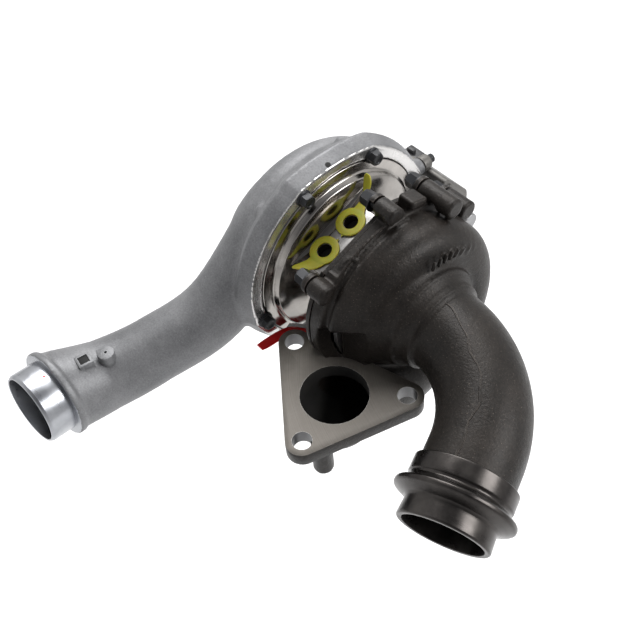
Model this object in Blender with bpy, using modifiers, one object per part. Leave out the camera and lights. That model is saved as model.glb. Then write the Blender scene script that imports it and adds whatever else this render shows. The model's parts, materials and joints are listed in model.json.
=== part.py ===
"""Variable-nozzle turbocharger for a V6 diesel engine, in metres with +Z up.

The origin is the centre of the turbine inlet port, on the face of its flange. Everything is
laid out around the shaft: helper functions take millimetres in the shaft's own frame, where
x runs along the shaft from the compressor (-x) to the turbine (+x) and x = 0 is the machined
ring face of the compressor cover. An angle round the shaft is measured from +Y towards +Z.
"""

import math

import bmesh
import bpy
from mathutils import Matrix, Vector

MM = 0.001
GAP = 0.3  # between pieces that touch

# Where the shaft's frame sits, seen from the centre of the turbine inlet port
SHAFT_AT = (-68.4, 68.2, 20.0)

# Joint between the compressor cover and the bearing housing
DISC_R = 63.0
RING_R = 71.5
COVER_BOLT_R = 66.0
COVER_THREAD_R = 2.1
COVER_BOLT_ANGLES = (13.5, 65.6, 112.7, 193.5, 245.6, 292.7)

# Compressor volute and discharge tube
VOLUTE_R = 47.0
VOLUTE_EXIT = 140.0
VOLUTE_WALL = 3.5
TUBE_ROUTE = (
    (-31.5, -78.4, -19.0), (-45.4, -121.7, -37.5), (-55.5, -154.7, -43.4), (-60.2, -186.7, -37.7)
)
TUBE_END = (-59.0, -203.6, -35.8)
TUBE_RADII = (21.5, 21.5, 23.0, 27.0)
SPIGOT_R, SPIGOT_BORE, SPIGOT_LONG, COLLAR_R = 23.5, 21.3, 17.0, 28.6
INLET_R, INLET_BORE, INLET_X = 25.5, 22.5, -54.0

# Bearing housing: the port pad is milled flat, tipped towards -Y
PAD_TIP = 22.0
PAD_D = 38.5
NECK_R = 36.0
PORT_X, PORT_SPACING, PORT_R = 17.0, 22.6, 4.7
DRAIN_X, DRAIN_Z, DRAIN_R = 19.0, -43.0, 6.5
RIM_X, RIM_END = 33.0, 36.0  # faces of the turbine-side rim
RIM_R = 58.0
PILOT_R = 50.1
TURBINE_BOLT_R, EAR_R, TURBINE_THREAD_R = 63.5, 6.3, 3.0
# Angle of each turbine bolt, and where its boss on the turbine housing ends
TURBINE_BOLTS = (
    (32.0, 55.0), (57.4, 62.0), (91.1, 51.0), (144.5, 49.0), (250.0, 50.0), (305.0, 50.0)
)

# Turbine scroll, inlet flange and outlet elbow
SCROLL_START, SCROLL_TURN = 206.0, 300.0
SCROLL_WALL = 4.2
FLANGE_TOP, FLANGE_THICK = -20.0, 10.0
PORT_AT = (68.4, -68.2)
INLET_PORT_R = 20.4
FLANGE_HOLES = ((-45.5, 7.9), (29.6, 30.1), (10.9, -34.1))
FLANGE_HOLE_R, FLANGE_CORNER_R = 5.9, 9.8
STUB_AT = (84.0, -92.6, 0)
ELBOW_START, ELBOW_BEND = 88.6, 72.0
ELBOW_TURN, ELBOW_ROLL = math.radians(68.8), math.radians(13.8)
ELBOW_STRAIGHT = 28.7
ELBOW_R, ELBOW_END_R, ELBOW_WALL = 26.0, 27.0, 4.3
VBAND_R, LIP_R, LIP_BORE, LIP_LONG = 34.5, 26.3, 23.2, 17.0

# Rotor
WHEEL_R, TURBINE_R = 26.0, 22.5
SHAFT_R, STUD_R = 4.5, 3.0

# Variable nozzle
VANES = 11
VANE_PIVOT_R, VANE_LEVER, VANE_STEM_R = 29.0, 7.0, 1.6
VANE_SET = 20.0  # degrees the vanes stand off the circle
VANE_X, UNISON_X = (51.3, 59.0), (44.0, 47.2)
CRANK_AT, CRANK_ARM, CRANK_LEVER = (42.8, -12.3), 16.0, 6.5
ARM_X, LINK_X = (21.0, 24.5), 27.0

# Actuator, on feet that point away from the shaft along +Y
ACTUATOR_FACE, ACTUATOR_X = 79.0, (-22.0, 14.7)
ACTUATOR_SHAFT = (92.0, -24.0)
SCREW_R, EAR_THICK = 1.9, 6.5
ACTUATOR_FEET = ((-10.0, 13.0), (-27.0, -14.0), (-27.0, -50.0))
ACTUATOR_OUTLINE = ((80, 11), (84, 11), (104, -12), (104, -60), (80, -60))

X = Vector((1, 0, 0))
Z = Vector((0, 0, 1))


def start_scene():
    """Empties the file and makes the two collections and the frame that everything hangs on."""
    for obj in list(bpy.data.objects):
        bpy.data.objects.remove(obj)
    parts = bpy.data.collections.new("turbocharger")
    cutters = bpy.data.collections.new("cutters")
    for collection in (parts, cutters):
        bpy.context.scene.collection.children.link(collection)
    shaft_frame = bpy.data.objects.new("shaft_frame", None)
    shaft_frame.location = Vector(SHAFT_AT) * MM
    parts.objects.link(shaft_frame)
    return parts, cutters, shaft_frame


PARTS, CUTTERS, SHAFT_FRAME = start_scene()


def material(name, colour, roughness, metallic):
    mat = bpy.data.materials.new(name)
    mat.use_nodes = True
    shader = mat.node_tree.nodes["Principled BSDF"]
    shader.inputs["Base Color"].default_value = (*colour, 1)
    shader.inputs["Roughness"].default_value = roughness
    shader.inputs["Metallic"].default_value = metallic
    return mat


CAST_ALUMINIUM = material("cast_aluminium", (0.42, 0.43, 0.45), 0.55, 0.8)
DARK_IRON = material("dark_cast_iron", (0.075, 0.062, 0.055), 0.6, 0.7)
TURNED_IRON = material("turned_iron", (0.5, 0.47, 0.44), 0.25, 1.0)
STEEL = material("steel", (0.55, 0.55, 0.56), 0.3, 1.0)
BLACK_STEEL = material("black_bolt", (0.03, 0.03, 0.035), 0.4, 0.8)
BRONZE = material("bronze", (0.55, 0.35, 0.15), 0.35, 1.0)
WHEEL_ALUMINIUM = material("wheel_aluminium", (0.7, 0.7, 0.72), 0.25, 1.0)
RUBBER = material("rubber", (0.02, 0.02, 0.02), 0.7, 0.0)
YELLOW = material("yellow_seal", (0.55, 0.52, 0.04), 0.5, 0.0)
RED = material("red_seal", (0.5, 0.02, 0.02), 0.5, 0.0)
BLACK_PLASTIC = material("black_plastic", (0.015, 0.015, 0.017), 0.5, 0.0)
ACTUATOR_GREY = material("actuator_casting", (0.28, 0.27, 0.26), 0.6, 0.7)


# ---- helpers: all take millimetres in the shaft's frame ----


def place(obj, mat=None, at=(0, 0, 0), toward=Z, roll=0.0):
    """Hangs an object on the shaft frame at a point, with its local Z along toward."""
    turn = Z.rotation_difference(Vector(toward)) if Vector(toward) != Z else Matrix().to_quaternion()
    obj.rotation_euler = (turn.to_matrix() @ Matrix.Rotation(math.radians(roll), 3, "Z")).to_euler()
    obj.location = Vector(at) * MM
    obj.parent = SHAFT_FRAME
    if mat is None:
        obj.hide_render = True
        obj.display_type = "WIRE"
        CUTTERS.objects.link(obj)
    else:
        obj.data.materials.append(mat)
        PARTS.objects.link(obj)
    return obj


def from_bmesh(name, bm):
    mesh = bpy.data.meshes.new(name)
    bmesh.ops.recalc_face_normals(bm, faces=bm.faces)
    bm.to_mesh(mesh)
    bm.free()
    return bpy.data.objects.new(name, mesh)


def turned(name, profile, mat=None, steps=32, at=(0, 0, 0), toward=X):
    """A turned shape. The profile is (height, radius) pairs that run down the outer side, top to
    bottom. A profile that doesn't end on the axis is closed into a ring."""
    mesh = bpy.data.meshes.new(name)
    points = [(r * MM, 0, h * MM) for h, r in profile]
    edges = [(i, i + 1) for i in range(len(points) - 1)]
    if profile[0][1] > 0:
        edges.append((len(points) - 1, 0))
    mesh.from_pydata(points, edges, [])
    obj = bpy.data.objects.new(name, mesh)
    screw = obj.modifiers.new("Turn", "SCREW")
    screw.steps = screw.render_steps = steps
    screw.use_merge_vertices = True
    screw.merge_threshold = 1e-6
    screw.use_smooth_shade = True
    return place(obj, mat, at, toward)


def rod(name, radius, low, high, mat=None, at=(0, 0, 0), toward=X, steps=16):
    """A plain round bar from low to high along toward."""
    return turned(name, ((high, 0), (high, radius), (low, radius), (low, 0)), mat, steps, at, toward)


def prism(name, radius, sides, low, high, mat=None, at=(0, 0, 0), toward=X, roll=0.0):
    """A regular prism, such as a hexagon head."""
    bm = bmesh.new()
    bmesh.ops.create_cone(
        bm, cap_ends=True, segments=sides, radius1=radius * MM, radius2=radius * MM,
        depth=(high - low) * MM, matrix=Matrix.Translation((0, 0, (high + low) / 2 * MM)),
    )
    return place(from_bmesh(name, bm), mat, at, toward, roll)


def block(name, size, mat=None, at=(0, 0, 0), tip=0.0, bevel=0.0):
    """A box, tipped by an angle about the shaft's direction, with rounded edges if bevel is given."""
    bm = bmesh.new()
    bmesh.ops.create_cube(bm, size=1, matrix=Matrix.Diagonal((*(s * MM for s in size), 1)))
    if bevel:
        bmesh.ops.bevel(
            bm, geom=bm.edges[:], offset=bevel * MM, segments=1, affect="EDGES", profile=0.5
        )
    obj = place(from_bmesh(name, bm), mat, at)
    obj.rotation_euler = (math.radians(tip), 0, 0)
    return obj


def tube(name, points, radii, mat=None, sides=16, at=(0, 0, 0)):
    """A round tube through points, with a radius at each point, made a mesh so that it can be cut."""
    curve = bpy.data.curves.new(name, "CURVE")
    curve.dimensions = "3D"
    curve.bevel_depth = MM
    curve.bevel_resolution = sides // 2 - 2
    curve.use_fill_caps = True
    spline = curve.splines.new("POLY")
    spline.points.add(len(points) - 1)
    for knot, point, radius in zip(spline.points, points, radii):
        knot.co = (*(Vector(point) * MM), 1)
        knot.radius = radius
    guide = bpy.data.objects.new(name + "_route", curve)
    PARTS.objects.link(guide)
    bpy.context.view_layer.update()
    graph = bpy.context.evaluated_depsgraph_get()
    mesh = bpy.data.meshes.new_from_object(guide.evaluated_get(graph))
    bpy.data.objects.remove(guide)
    mesh.materials.clear()
    bm = bmesh.new()
    bm.from_mesh(mesh)
    bmesh.ops.remove_doubles(bm, verts=bm.verts, dist=1e-6)
    bmesh.ops.triangulate(bm, faces=bm.faces)
    bpy.data.meshes.remove(mesh)
    return place(from_bmesh(name, bm), mat, at)


def plate(name, outline, low, high, mat=None, at=(0, 0, 0), along=X):
    """A flat outline, extruded from low to high. It holds (y, z) points when it goes along X, and
    (x, y) points when it goes along Z."""
    bm = bmesh.new()
    if along is X:
        verts = [bm.verts.new((low * MM, u * MM, v * MM)) for u, v in outline]
    else:
        verts = [bm.verts.new((u * MM, v * MM, low * MM)) for u, v in outline]
    grown = bmesh.ops.extrude_face_region(bm, geom=[bm.faces.new(verts)])
    raised = [item for item in grown["geom"] if isinstance(item, bmesh.types.BMVert)]
    bmesh.ops.translate(bm, verts=raised, vec=(high - low) * MM * along)
    return place(from_bmesh(name, bm), mat, at)


def strap(name, points, across, width, thick, mat=None):
    """A flat strip that bends along points and keeps its width along across."""
    bm = bmesh.new()
    points = [Vector(p) for p in points]
    across = Vector(across).normalized()
    rings = []
    for i, point in enumerate(points):
        along = points[min(i + 1, len(points) - 1)] - points[max(i - 1, 0)]
        up = along.cross(across).normalized() * thick / 2
        side = across * width / 2
        corners = (point + side + up, point - side + up, point - side - up, point + side - up)
        rings.append([bm.verts.new(corner * MM) for corner in corners])
    for a, b in zip(rings, rings[1:]):
        for j in range(4):
            bm.faces.new((a[j], a[(j + 1) % 4], b[(j + 1) % 4], b[j]))
    bm.faces.new(rings[0])
    bm.faces.new(rings[-1])
    return place(from_bmesh(name, bm), mat)


# The exact solver leaves open edges on these two, where many curved walls cross.
CASTINGS = ("turbine_housing", "compressor_cover")


def boolean(obj, tool, operation):
    modifier = obj.modifiers.new(f"{operation.title()} {tool.name}", "BOOLEAN")
    modifier.operation = operation
    modifier.solver = "MANIFOLD" if obj.name in CASTINGS else "EXACT"
    modifier.object = tool


def cut(obj, *tools):
    for tool in tools:
        boolean(obj, tool, "DIFFERENCE")
    return obj


def join(obj, *tools):
    for tool in tools:
        boolean(obj, tool, "UNION")
    return obj


def around(angle, radius, x=0.0):
    """The point at an angle round the shaft."""
    a = math.radians(angle)
    return Vector((x, radius * math.cos(a), radius * math.sin(a)))


def arc(centre, radius, first, last, steps):
    """Points on a flat arc, angles in degrees."""
    found = []
    for i in range(steps + 1):
        a = math.radians(first + (last - first) * i / steps)
        found.append((centre[0] + radius * math.cos(a), centre[1] + radius * math.sin(a)))
    return found


def hull_of_circles(centres, radius, steps=5):
    """The outline of a band stretched round equal circles, which are given counter-clockwise."""
    outline = []
    count = len(centres)
    for i, centre in enumerate(centres):
        before = Vector(centre) - Vector(centres[i - 1])
        after = Vector(centres[(i + 1) % count]) - Vector(centre)
        first = math.degrees(math.atan2(before.y, before.x)) - 90
        last = math.degrees(math.atan2(after.y, after.x)) - 90
        outline += arc(centre, radius, first, first + (last - first) % 360, steps)
    return outline


def smooth(points, per_span):
    """Points on a Catmull-Rom curve through the given ones."""
    points = [Vector(p) for p in points]
    ends = [2 * points[0] - points[1], *points, 2 * points[-1] - points[-2]]
    found = [points[0]]
    for a, b, c, d in zip(ends, ends[1:], ends[2:], ends[3:]):
        for i in range(1, per_span + 1):
            t = i / per_span
            found.append(
                0.5 * (2 * b + (c - a) * t + (2 * a - 5 * b + 4 * c - d) * t**2
                       + (3 * b - a - 3 * c + d) * t**3)
            )
    return found


def spread(values, per_span):
    """Values between the given ones, in even steps."""
    found = [values[0]]
    for a, b in zip(values, values[1:]):
        found += [a + (b - a) * i / per_span for i in range(1, per_span + 1)]
    return found


PAD_OUT = Vector((0, -math.sin(math.radians(PAD_TIP)), math.cos(math.radians(PAD_TIP))))
PAD_ALONG = Vector((0, PAD_OUT.z, -PAD_OUT.y))


# ---- compressor cover ----


def volute_section(turned_by):
    """(x, radius of the hollow) of the compressor volute after turned_by degrees of growth."""
    hollow = 5.5 + 12.0 * turned_by / 360
    return -9.6 - 0.8 * hollow, hollow


def discharge_route():
    """Centre line of the discharge tube, from the volute's exit to the shoulder."""
    x, _ = volute_section(350)
    first = around(VOLUTE_EXIT - 16, VOLUTE_R, x)
    leaving = around(VOLUTE_EXIT, VOLUTE_R, x)
    return smooth((first, leaving, *TUBE_ROUTE), 2)


def make_compressor_cover():
    cover = turned(
        "compressor_cover",
        ((0, 0), (0, RING_R), (-10, 75), (-17, 70), (-22, 48), (-33, 31), (-42, INLET_R),
         (INLET_X + 4, INLET_R), (INLET_X + 3, INLET_R + 1.5), (INLET_X, INLET_R + 1.5),
         (INLET_X, 0)),
        CAST_ALUMINIUM, steps=30,
    )
    stations = [350 * i / 13 for i in range(14)]
    route = [around(VOLUTE_EXIT - 350 + t, VOLUTE_R, volute_section(t)[0]) for t in stations]
    radii = [volute_section(t)[1] for t in stations]
    leaving_r = radii[-1] + VOLUTE_WALL
    tube_route = discharge_route()
    tube_radii = spread((leaving_r - 4, leaving_r - 0.5, *TUBE_RADII), 2)
    end = Vector(TUBE_END)
    out = (end - Vector(TUBE_ROUTE[-1])).normalized()
    join(
        cover,
        tube("volute_outside", route, [r + VOLUTE_WALL for r in radii], sides=12),
        tube("discharge_outside", tube_route, tube_radii, sides=14),
        turned(
            "discharge_collar",
            ((0, 0), (0, SPIGOT_R - 1.2), (-1.5, SPIGOT_R), (-SPIGOT_LONG, SPIGOT_R),
             (-SPIGOT_LONG, COLLAR_R), (-SPIGOT_LONG - 4, COLLAR_R), (-SPIGOT_LONG - 8, 22.0),
             (-SPIGOT_LONG - 8, 0)),
            at=end, toward=out, steps=24,
        ),
    )
    for i, (x, z) in enumerate(ACTUATOR_FEET):
        join(cover, rod(f"cover_foot_{i + 1}", 5.6, 30.0, ACTUATOR_FACE - GAP, at=(x, 0, z),
                        toward=(0, 1, 0), steps=10))
    bore = [r - VOLUTE_WALL for r in tube_radii]
    cut(
        cover,
        tube("volute_inside", route, radii, sides=10),
        tube("discharge_inside", [*tube_route, end + 2 * out],
             [*bore[:-1], SPIGOT_BORE, SPIGOT_BORE], sides=12),
        turned(
            "cover_inside",
            ((1, 0), (1, DISC_R + GAP), (-9.5, DISC_R + GAP), (-9.8, 46), (-15.6, 45),
             (-15.6, 30), (-16.4, 26.8), (-19, 23.4), (-26, 20.4), (-36, 19.6), (-44, 20.0),
             (INLET_X - 1, INLET_BORE), (INLET_X - 1, 0)),
            steps=30,
        ),
    )
    for i, angle in enumerate(COVER_BOLT_ANGLES):
        at = around(angle, COVER_BOLT_R)
        cut(cover, rod(f"cover_bolt_hole_{i + 1}", COVER_THREAD_R + 0.25, -8.6, 1, at=at, steps=8))
    for i, (x, z) in enumerate(ACTUATOR_FEET):
        cut(cover, rod(f"foot_hole_{i + 1}", SCREW_R + 0.25, ACTUATOR_FACE - 12, 85, at=(x, 0, z),
                       toward=(0, 1, 0), steps=8))


def make_bolt(name, at, toward, thread, flange, hexagon, head, shank, mat=BLACK_STEEL):
    """A flange bolt whose head stands on at and points along toward."""
    body = turned(
        name,
        ((1.2, 0), (1.2, flange), (0, flange), (0, thread), (-shank, thread), (-shank, 0)),
        mat, steps=10, at=at, toward=toward,
    )
    join(body, prism(name + "_head", hexagon, 6, 0.6, head, at=at, toward=toward))


def make_cover_bolts():
    for i, angle in enumerate(COVER_BOLT_ANGLES):
        at = around(angle, COVER_BOLT_R, GAP)
        make_bolt(f"compressor_bolt_{i + 1}", at, X, COVER_THREAD_R, 5.3, 4.5, 5.6, 8.0)


# ---- bearing housing ----


def make_bearing_housing():
    housing = turned(
        "bearing_housing",
        ((39, 33), (38, 34), (38, PILOT_R), (RIM_END, PILOT_R), (RIM_END, RIM_R), (RIM_X, RIM_R),
         (RIM_X, 43), (29, 38), (25, NECK_R), (14, NECK_R), (9, 44), (6.5, 50), (4.5, 54.5),
         (1.2, 55.5), (0, 57), (0, DISC_R), (-4, DISC_R), (-4, 61.0), (-7.2, 61.0),
         (-7.2, DISC_R), (-9.2, DISC_R), (-9.2, 23.3), (-5.0, 23.3), (-5.0, 17.0), (3.4, 17.0),
         (3.4, 7.35), (31.6, 7.35), (31.6, 7.9), (39, 7.9)),
        TURNED_IRON, steps=30,
    )
    for i, (angle, _) in enumerate(TURBINE_BOLTS):
        at = around(angle, TURBINE_BOLT_R)
        join(housing, rod(f"rim_ear_{i + 1}", EAR_R, RIM_X + 0.2, RIM_END - 0.2, at=at, steps=12))
        cut(housing, rod(f"ear_hole_{i + 1}", 3.3, 30, 40, at=at, steps=8))
    cut(housing, pad_block("rim_flat", (24, 46, 30), 50.6, 38))
    cut(housing, block("flange_notch", (6.0, 20.4, 14), at=(33.3, -56, -25)))
    cut(housing, pad_block("dish_mill", (6.0, 74, 40), PAD_D, 9.5))
    join(housing, pad_block("port_pad", (18.0, 47, -9), PAD_D, 21.0))
    join(housing, block("drain_boss", (22, 44, 20), at=(DRAIN_X + 1, 0, DRAIN_Z + 10)))
    join(housing, rod("crank_boss", 6.5, LINK_X, RIM_X + 1, at=(0, *CRANK_AT), steps=12))
    cut(housing, prism("drain_hole", DRAIN_R, 12, -60, -12, at=(DRAIN_X, 0, 0), toward=Z))
    cut(housing, block("oil_room", (20, 24, 20), at=(DRAIN_X, 0, -8)))
    cut(housing, rod("crank_bore", 4.3, LINK_X - 1, 40, at=(0, *CRANK_AT), steps=12))
    for name, at in port_centres():
        deep = 26.0 if name == "port_seal_1" else 10.0
        cut(housing, rod(name + "_hole", 3.2, -deep, 2, at=at, toward=PAD_OUT, steps=10))


def pad_block(name, size, distance, x):
    """A box whose face lies distance from the shaft, square to the port pad. It stands outside
    that face, or inside when its height is negative."""
    long, wide, high = size
    at = PAD_OUT * (distance + high / 2) - PAD_ALONG * 2 + X * x
    return block(name, (long, wide, abs(high)), at=at, tip=PAD_TIP)


def port_centres():
    middle = PAD_OUT * PAD_D - PAD_ALONG * 1.7 + X * PORT_X
    half = PAD_ALONG * (PORT_SPACING / 2)
    return (("port_seal_1", middle + half), ("port_seal_2", middle - half))


def make_port_seals():
    """Thin peel-off rings that close the oil and coolant ports, each with a bent pull tab."""
    tabs = (
        ((6.0, 0.0, 0.7), (13.0, -2.5, 0.9), (20.0, -5.0, 4.0), (27.0, -8.0, 9.0)),
        ((-6.0, 0.0, 0.7), (-14.0, -2.5, 0.9), (-20.0, -4.5, 3.5)),
    )
    for (name, centre), tab in zip(port_centres(), tabs):
        ring = turned(
            name, ((1.3, 9.2), (0, 9.2), (0, PORT_R), (1.3, PORT_R)), YELLOW, steps=20,
            at=centre + PAD_OUT * GAP, toward=PAD_OUT,
        )
        points = [centre + PAD_ALONG * a + X * b + PAD_OUT * (GAP + c) for a, b, c in tab]
        join(ring, strap(name + "_tab", points, X, 6.0, 1.0))


def make_drain_seal():
    """Thin disc that closes the oil drain below, with a long red pull tab."""
    high = DRAIN_Z - GAP
    seal = rod("drain_seal", DRAIN_R + 2.3, high - 1.2, high, RED, at=(DRAIN_X, 0, 0), toward=Z, steps=16)
    points = ((18, -5, high - 0.6), (13, -32, high - 0.6), (5.5, -50, -34), (4.3, -74, -31))
    join(seal, strap("drain_tab", points, X, 7.0, 1.0))


def make_inner_rings():
    """The pieces that stand still inside the bearing housing."""
    section = [
        (-5.6 - 1.3 * math.sin(a), 62.15 + 0.8 * math.cos(a))
        for a in (math.radians(60 * i) for i in range(-1, 5))
    ]
    turned("cover_o_ring", section, RUBBER, steps=28)
    turned("seal_plate", ((-5.3, 22.9), (-9.2, 22.9), (-9.2, 7.6), (-5.3, 7.6)), STEEL, steps=24)
    bearing = turned(
        "thrust_bearing", ((1.4, 16.6), (-1.4, 16.6), (-1.4, 4.9), (1.4, 4.9)), BRONZE, steps=24
    )
    cut(bearing, block("thrust_slot", (4, 9.8, 20), at=(0, 0, -12)))
    turned("bearing_spacer", ((22.7, 6.9), (12.3, 6.9), (12.3, 5.1), (22.7, 5.1)), STEEL, steps=16)
    turned(
        "heat_shield",
        ((47.6, 23.4), (46.6, 24.6), (41.0, 26.2), (40.7, 29.5), (39.7, 29.5), (39.7, 26.0),
         (40.6, 24.9), (45.9, 23.4), (46.4, 9.6), (47.6, 9.6)),
        STEEL, steps=28,
    )
    turned("piston_ring", ((36.3, 7.7), (34.9, 7.7), (34.9, 6.3), (36.3, 6.3)), STEEL, steps=16)


# ---- rotor ----


def quarter(start, finish, t):
    """A point on a quarter ellipse that leaves start along the shaft and reaches finish radially."""
    a = t * math.pi / 2
    x = start[0] + (finish[0] - start[0]) * math.sin(a)
    return x, finish[1] - (finish[1] - start[1]) * math.cos(a)


def wheel_blades(name, hub, shroud, count, wrap, thick, rows=4):
    """Curved blades between a hub line and a shroud line, each a quarter ellipse."""
    bm = bmesh.new()
    for number in range(count):
        rings = []
        for i in range(rows + 1):
            t = i / rows
            sweep = math.radians(wrap) * (1 - t) ** 1.6 + 2 * math.pi * number / count
            ring = []
            for side in (-1, 1):
                for (x, r), inset in ((quarter(*hub, t), 1.6), (quarter(*shroud, t), 0.0)):
                    r = r - inset * math.sin(t * math.pi / 2 + 0.5)
                    across = side * thick / 2 / max(r, 1)
                    ring.append(bm.verts.new(around(math.degrees(sweep + across), r, x) * MM))
            rings.append([ring[0], ring[1], ring[3], ring[2]])
        for a, b in zip(rings, rings[1:]):
            for j in range(4):
                bm.faces.new((a[j], a[(j + 1) % 4], b[(j + 1) % 4], b[j]))
        bm.faces.new(rings[0])
        bm.faces.new(rings[-1])
    return place(from_bmesh(name, bm))


def make_compressor_wheel():
    hub = ((-39.0, 6.5), (-11.6, WHEEL_R - 0.2))
    shroud = ((-37.0, 18.6), (-15.8, WHEEL_R - 0.1))
    line = [quarter(*hub, i / 5) for i in range(6)]
    profile = [(-10.4, 3.15), (-10.4, WHEEL_R), *reversed(line), (-40.5, 5.5), (-40.5, 3.15)]
    wheel = turned("compressor_wheel", profile, WHEEL_ALUMINIUM, steps=20)
    join(wheel, wheel_blades("compressor_blades", hub, shroud, 10, 55, 0.8))


def make_turbine_wheel():
    hub = ((85.0, 5.5), (52.6, TURBINE_R - 0.2))
    shroud = ((83.0, 19.8), (58.2, TURBINE_R))
    line = [quarter(*hub, i / 5) for i in range(6)]
    profile = [
        (89, 0), (89, 4.0), *line, (51.2, TURBINE_R - 4), (50.6, 8.5), (33.2, 7.5),
        (32.0, SHAFT_R), (3.6, SHAFT_R), (3.6, STUD_R), (-45.5, STUD_R), (-45.5, 0),
    ]
    wheel = turned("turbine_wheel_shaft", profile, STEEL, steps=20)
    join(wheel, wheel_blades("turbine_blades", hub, shroud, 9, 40, 1.0))
    groove = ((36.6, 10), (34.6, 10), (34.6, 6.0), (36.6, 6.0))
    cut(wheel, turned("piston_ring_groove", groove, steps=16))


def make_rotor():
    make_compressor_wheel()
    make_turbine_wheel()
    nut = prism("lock_nut", 5.4, 6, -44.4, -40.8, STEEL)
    cut(nut, rod("nut_bore", STUD_R + 0.12, -50, -35, steps=16))
    turned("oil_flinger", ((-4.2, 7.3), (-10.1, 7.0), (-10.1, 3.15), (-4.2, 3.15)), STEEL, steps=16)
    turned(
        "thrust_collar",
        ((3.3, 6.2), (1.7, 6.2), (1.7, 4.6), (-1.7, 4.6), (-1.7, 6.2), (-3.9, 6.2), (-3.9, 3.15),
         (3.3, 3.15)),
        STEEL, steps=16,
    )


def make_journal_bearings():
    for name, low in (("journal_bearing_front", 4.4), ("journal_bearing_rear", 23.4)):
        high = low + 7.2
        section = ((high, 7.25), (low, 7.25), (low, 4.62), (high, 4.62))
        turned(name, section, BRONZE, steps=20)


# ---- variable nozzle ----


def vane_angle(i):
    return 360 / VANES * i + 8


def make_nozzle_ring():
    section = ((51.0, 49.6), (47.9, 49.6), (47.9, 24.2), (51.0, 24.2))
    ring = turned("nozzle_ring", section, STEEL, steps=30)
    for i in range(VANES):
        at = around(vane_angle(i), VANE_PIVOT_R)
        cut(ring, rod(f"vane_bore_{i + 1}", VANE_STEM_R + GAP, 46, 53, at=at, steps=8))


def make_vanes():
    """Each vane is one piece with its stem and its lever, and turns on its stem."""
    outline = ((9.0, 0.0), (4.0, 1.3), (-2.0, 1.9), (-6.6, 0.0), (-2.0, -1.0), (4.0, -0.6))
    for i in range(VANES):
        angle = vane_angle(i)
        at = around(angle, VANE_PIVOT_R)
        heading = math.radians(angle + 90 + VANE_SET)
        c, s = math.cos(heading), math.sin(heading)
        blade = [(u * c - v * s, u * s + v * c) for u, v in outline]
        tip = VANE_LEVER * Vector((math.cos(math.radians(angle)), math.sin(math.radians(angle))))
        lever = hull_of_circles(((0, 0), tip), 1.3, 3)
        join(
            plate(f"nozzle_vane_{i + 1}", blade, *VANE_X, STEEL, at),
            rod(f"vane_stem_{i + 1}", VANE_STEM_R, 45.0, VANE_X[0] + 1, at=at, steps=8),
            plate(f"vane_lever_{i + 1}", lever, *UNISON_X, at=at),
        )


def make_unison_ring():
    low, high = UNISON_X
    section = ((high, 44.0), (low, 44.0), (low, 35.0), (high, 35.0))
    ring = turned("unison_ring", section, STEEL, steps=30)
    middle = (low + high) / 2
    for i in range(VANES):
        a = vane_angle(i)
        cut(ring, block(f"unison_slot_{i + 1}", (6, 6.0, 4.4), at=around(a, 35.6, middle), tip=a))
    a = math.degrees(math.atan2(CRANK_AT[1], CRANK_AT[0]))
    cut(ring, block("crank_slot", (6, 10.0, 4.2), at=around(a, 36.0, middle), tip=a))


def make_nozzle_insert():
    """Plate on the far side of the vanes, with the sleeve round the turbine wheel."""
    turned(
        "nozzle_insert",
        ((82.0, 25.2), (62.5, 25.2), (62.5, 36.0), (59.4, 36.0), (59.4, 23.2), (62, 22.9),
         (72, 20.9), (82.0, 20.4)),
        STEEL, steps=32,
    )


def make_crank():
    """Crank that turns the unison ring: an arm outside, a shaft through the housing, a finger."""
    y, z = CRANK_AT
    at = Vector((0, y, z))
    inward = -CRANK_LEVER * at.normalized()
    tip = (inward.y, inward.z)
    join(
        rod("vnt_crank", 2.6, ARM_X[1] - 0.5, 43.4, STEEL, at=at, steps=12),
        plate("crank_arm", hull_of_circles(((0, 0), (0, -CRANK_ARM)), 4.5, 4), *ARM_X, at=at),
        plate("crank_lever", hull_of_circles(((0, 0), tip), 2.0, 3), 40.2, 43.4, at=at),
        rod("crank_finger", 1.7, 42.0, UNISON_X[1], at=at + inward, steps=8),
        rod("crank_pin", 2.0, ARM_X[1] - 0.5, 30.0, at=at - Z * CRANK_ARM, steps=10),
    )
    section = ((38.0, 4.0), (LINK_X, 4.0), (LINK_X, 2.95), (38.0, 2.95))
    turned("crank_bushing", section, BRONZE, steps=14, at=at)


def make_link_and_arm():
    """The link rod hangs on the actuator arm's pin and reaches the crank's pin with clearance."""
    shaft = Vector((0, *ACTUATOR_SHAFT))
    far = shaft - Z * CRANK_ARM
    near = Vector((0, *CRANK_AT)) - Z * CRANK_ARM
    span = (near - far).length
    link = rod("link_rod", 2.4, 4.0, span - 4.0, STEEL, at=far + X * LINK_X, toward=near - far,
               steps=8)
    for eye, at, bore in (("far_eye", far, 2.4), ("near_eye", near, 2.9)):
        join(link, rod(eye, 5.2, LINK_X - 1.9, LINK_X + 1.9, at=at, steps=12))
        cut(link, rod(eye + "_bore", bore, 20, 40, at=at, steps=10))
    join(
        rod("actuator_arm", 5.0, 8.0, ARM_X[1], STEEL, at=shaft, steps=14),
        plate("arm_bar", hull_of_circles(((0, 0), (0, -CRANK_ARM)), 4.6, 4), *ARM_X, at=shaft),
        rod("arm_pin", 2.0, ARM_X[1] - 0.5, 30.0, at=far, steps=10),
    )


# ---- actuator ----


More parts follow.
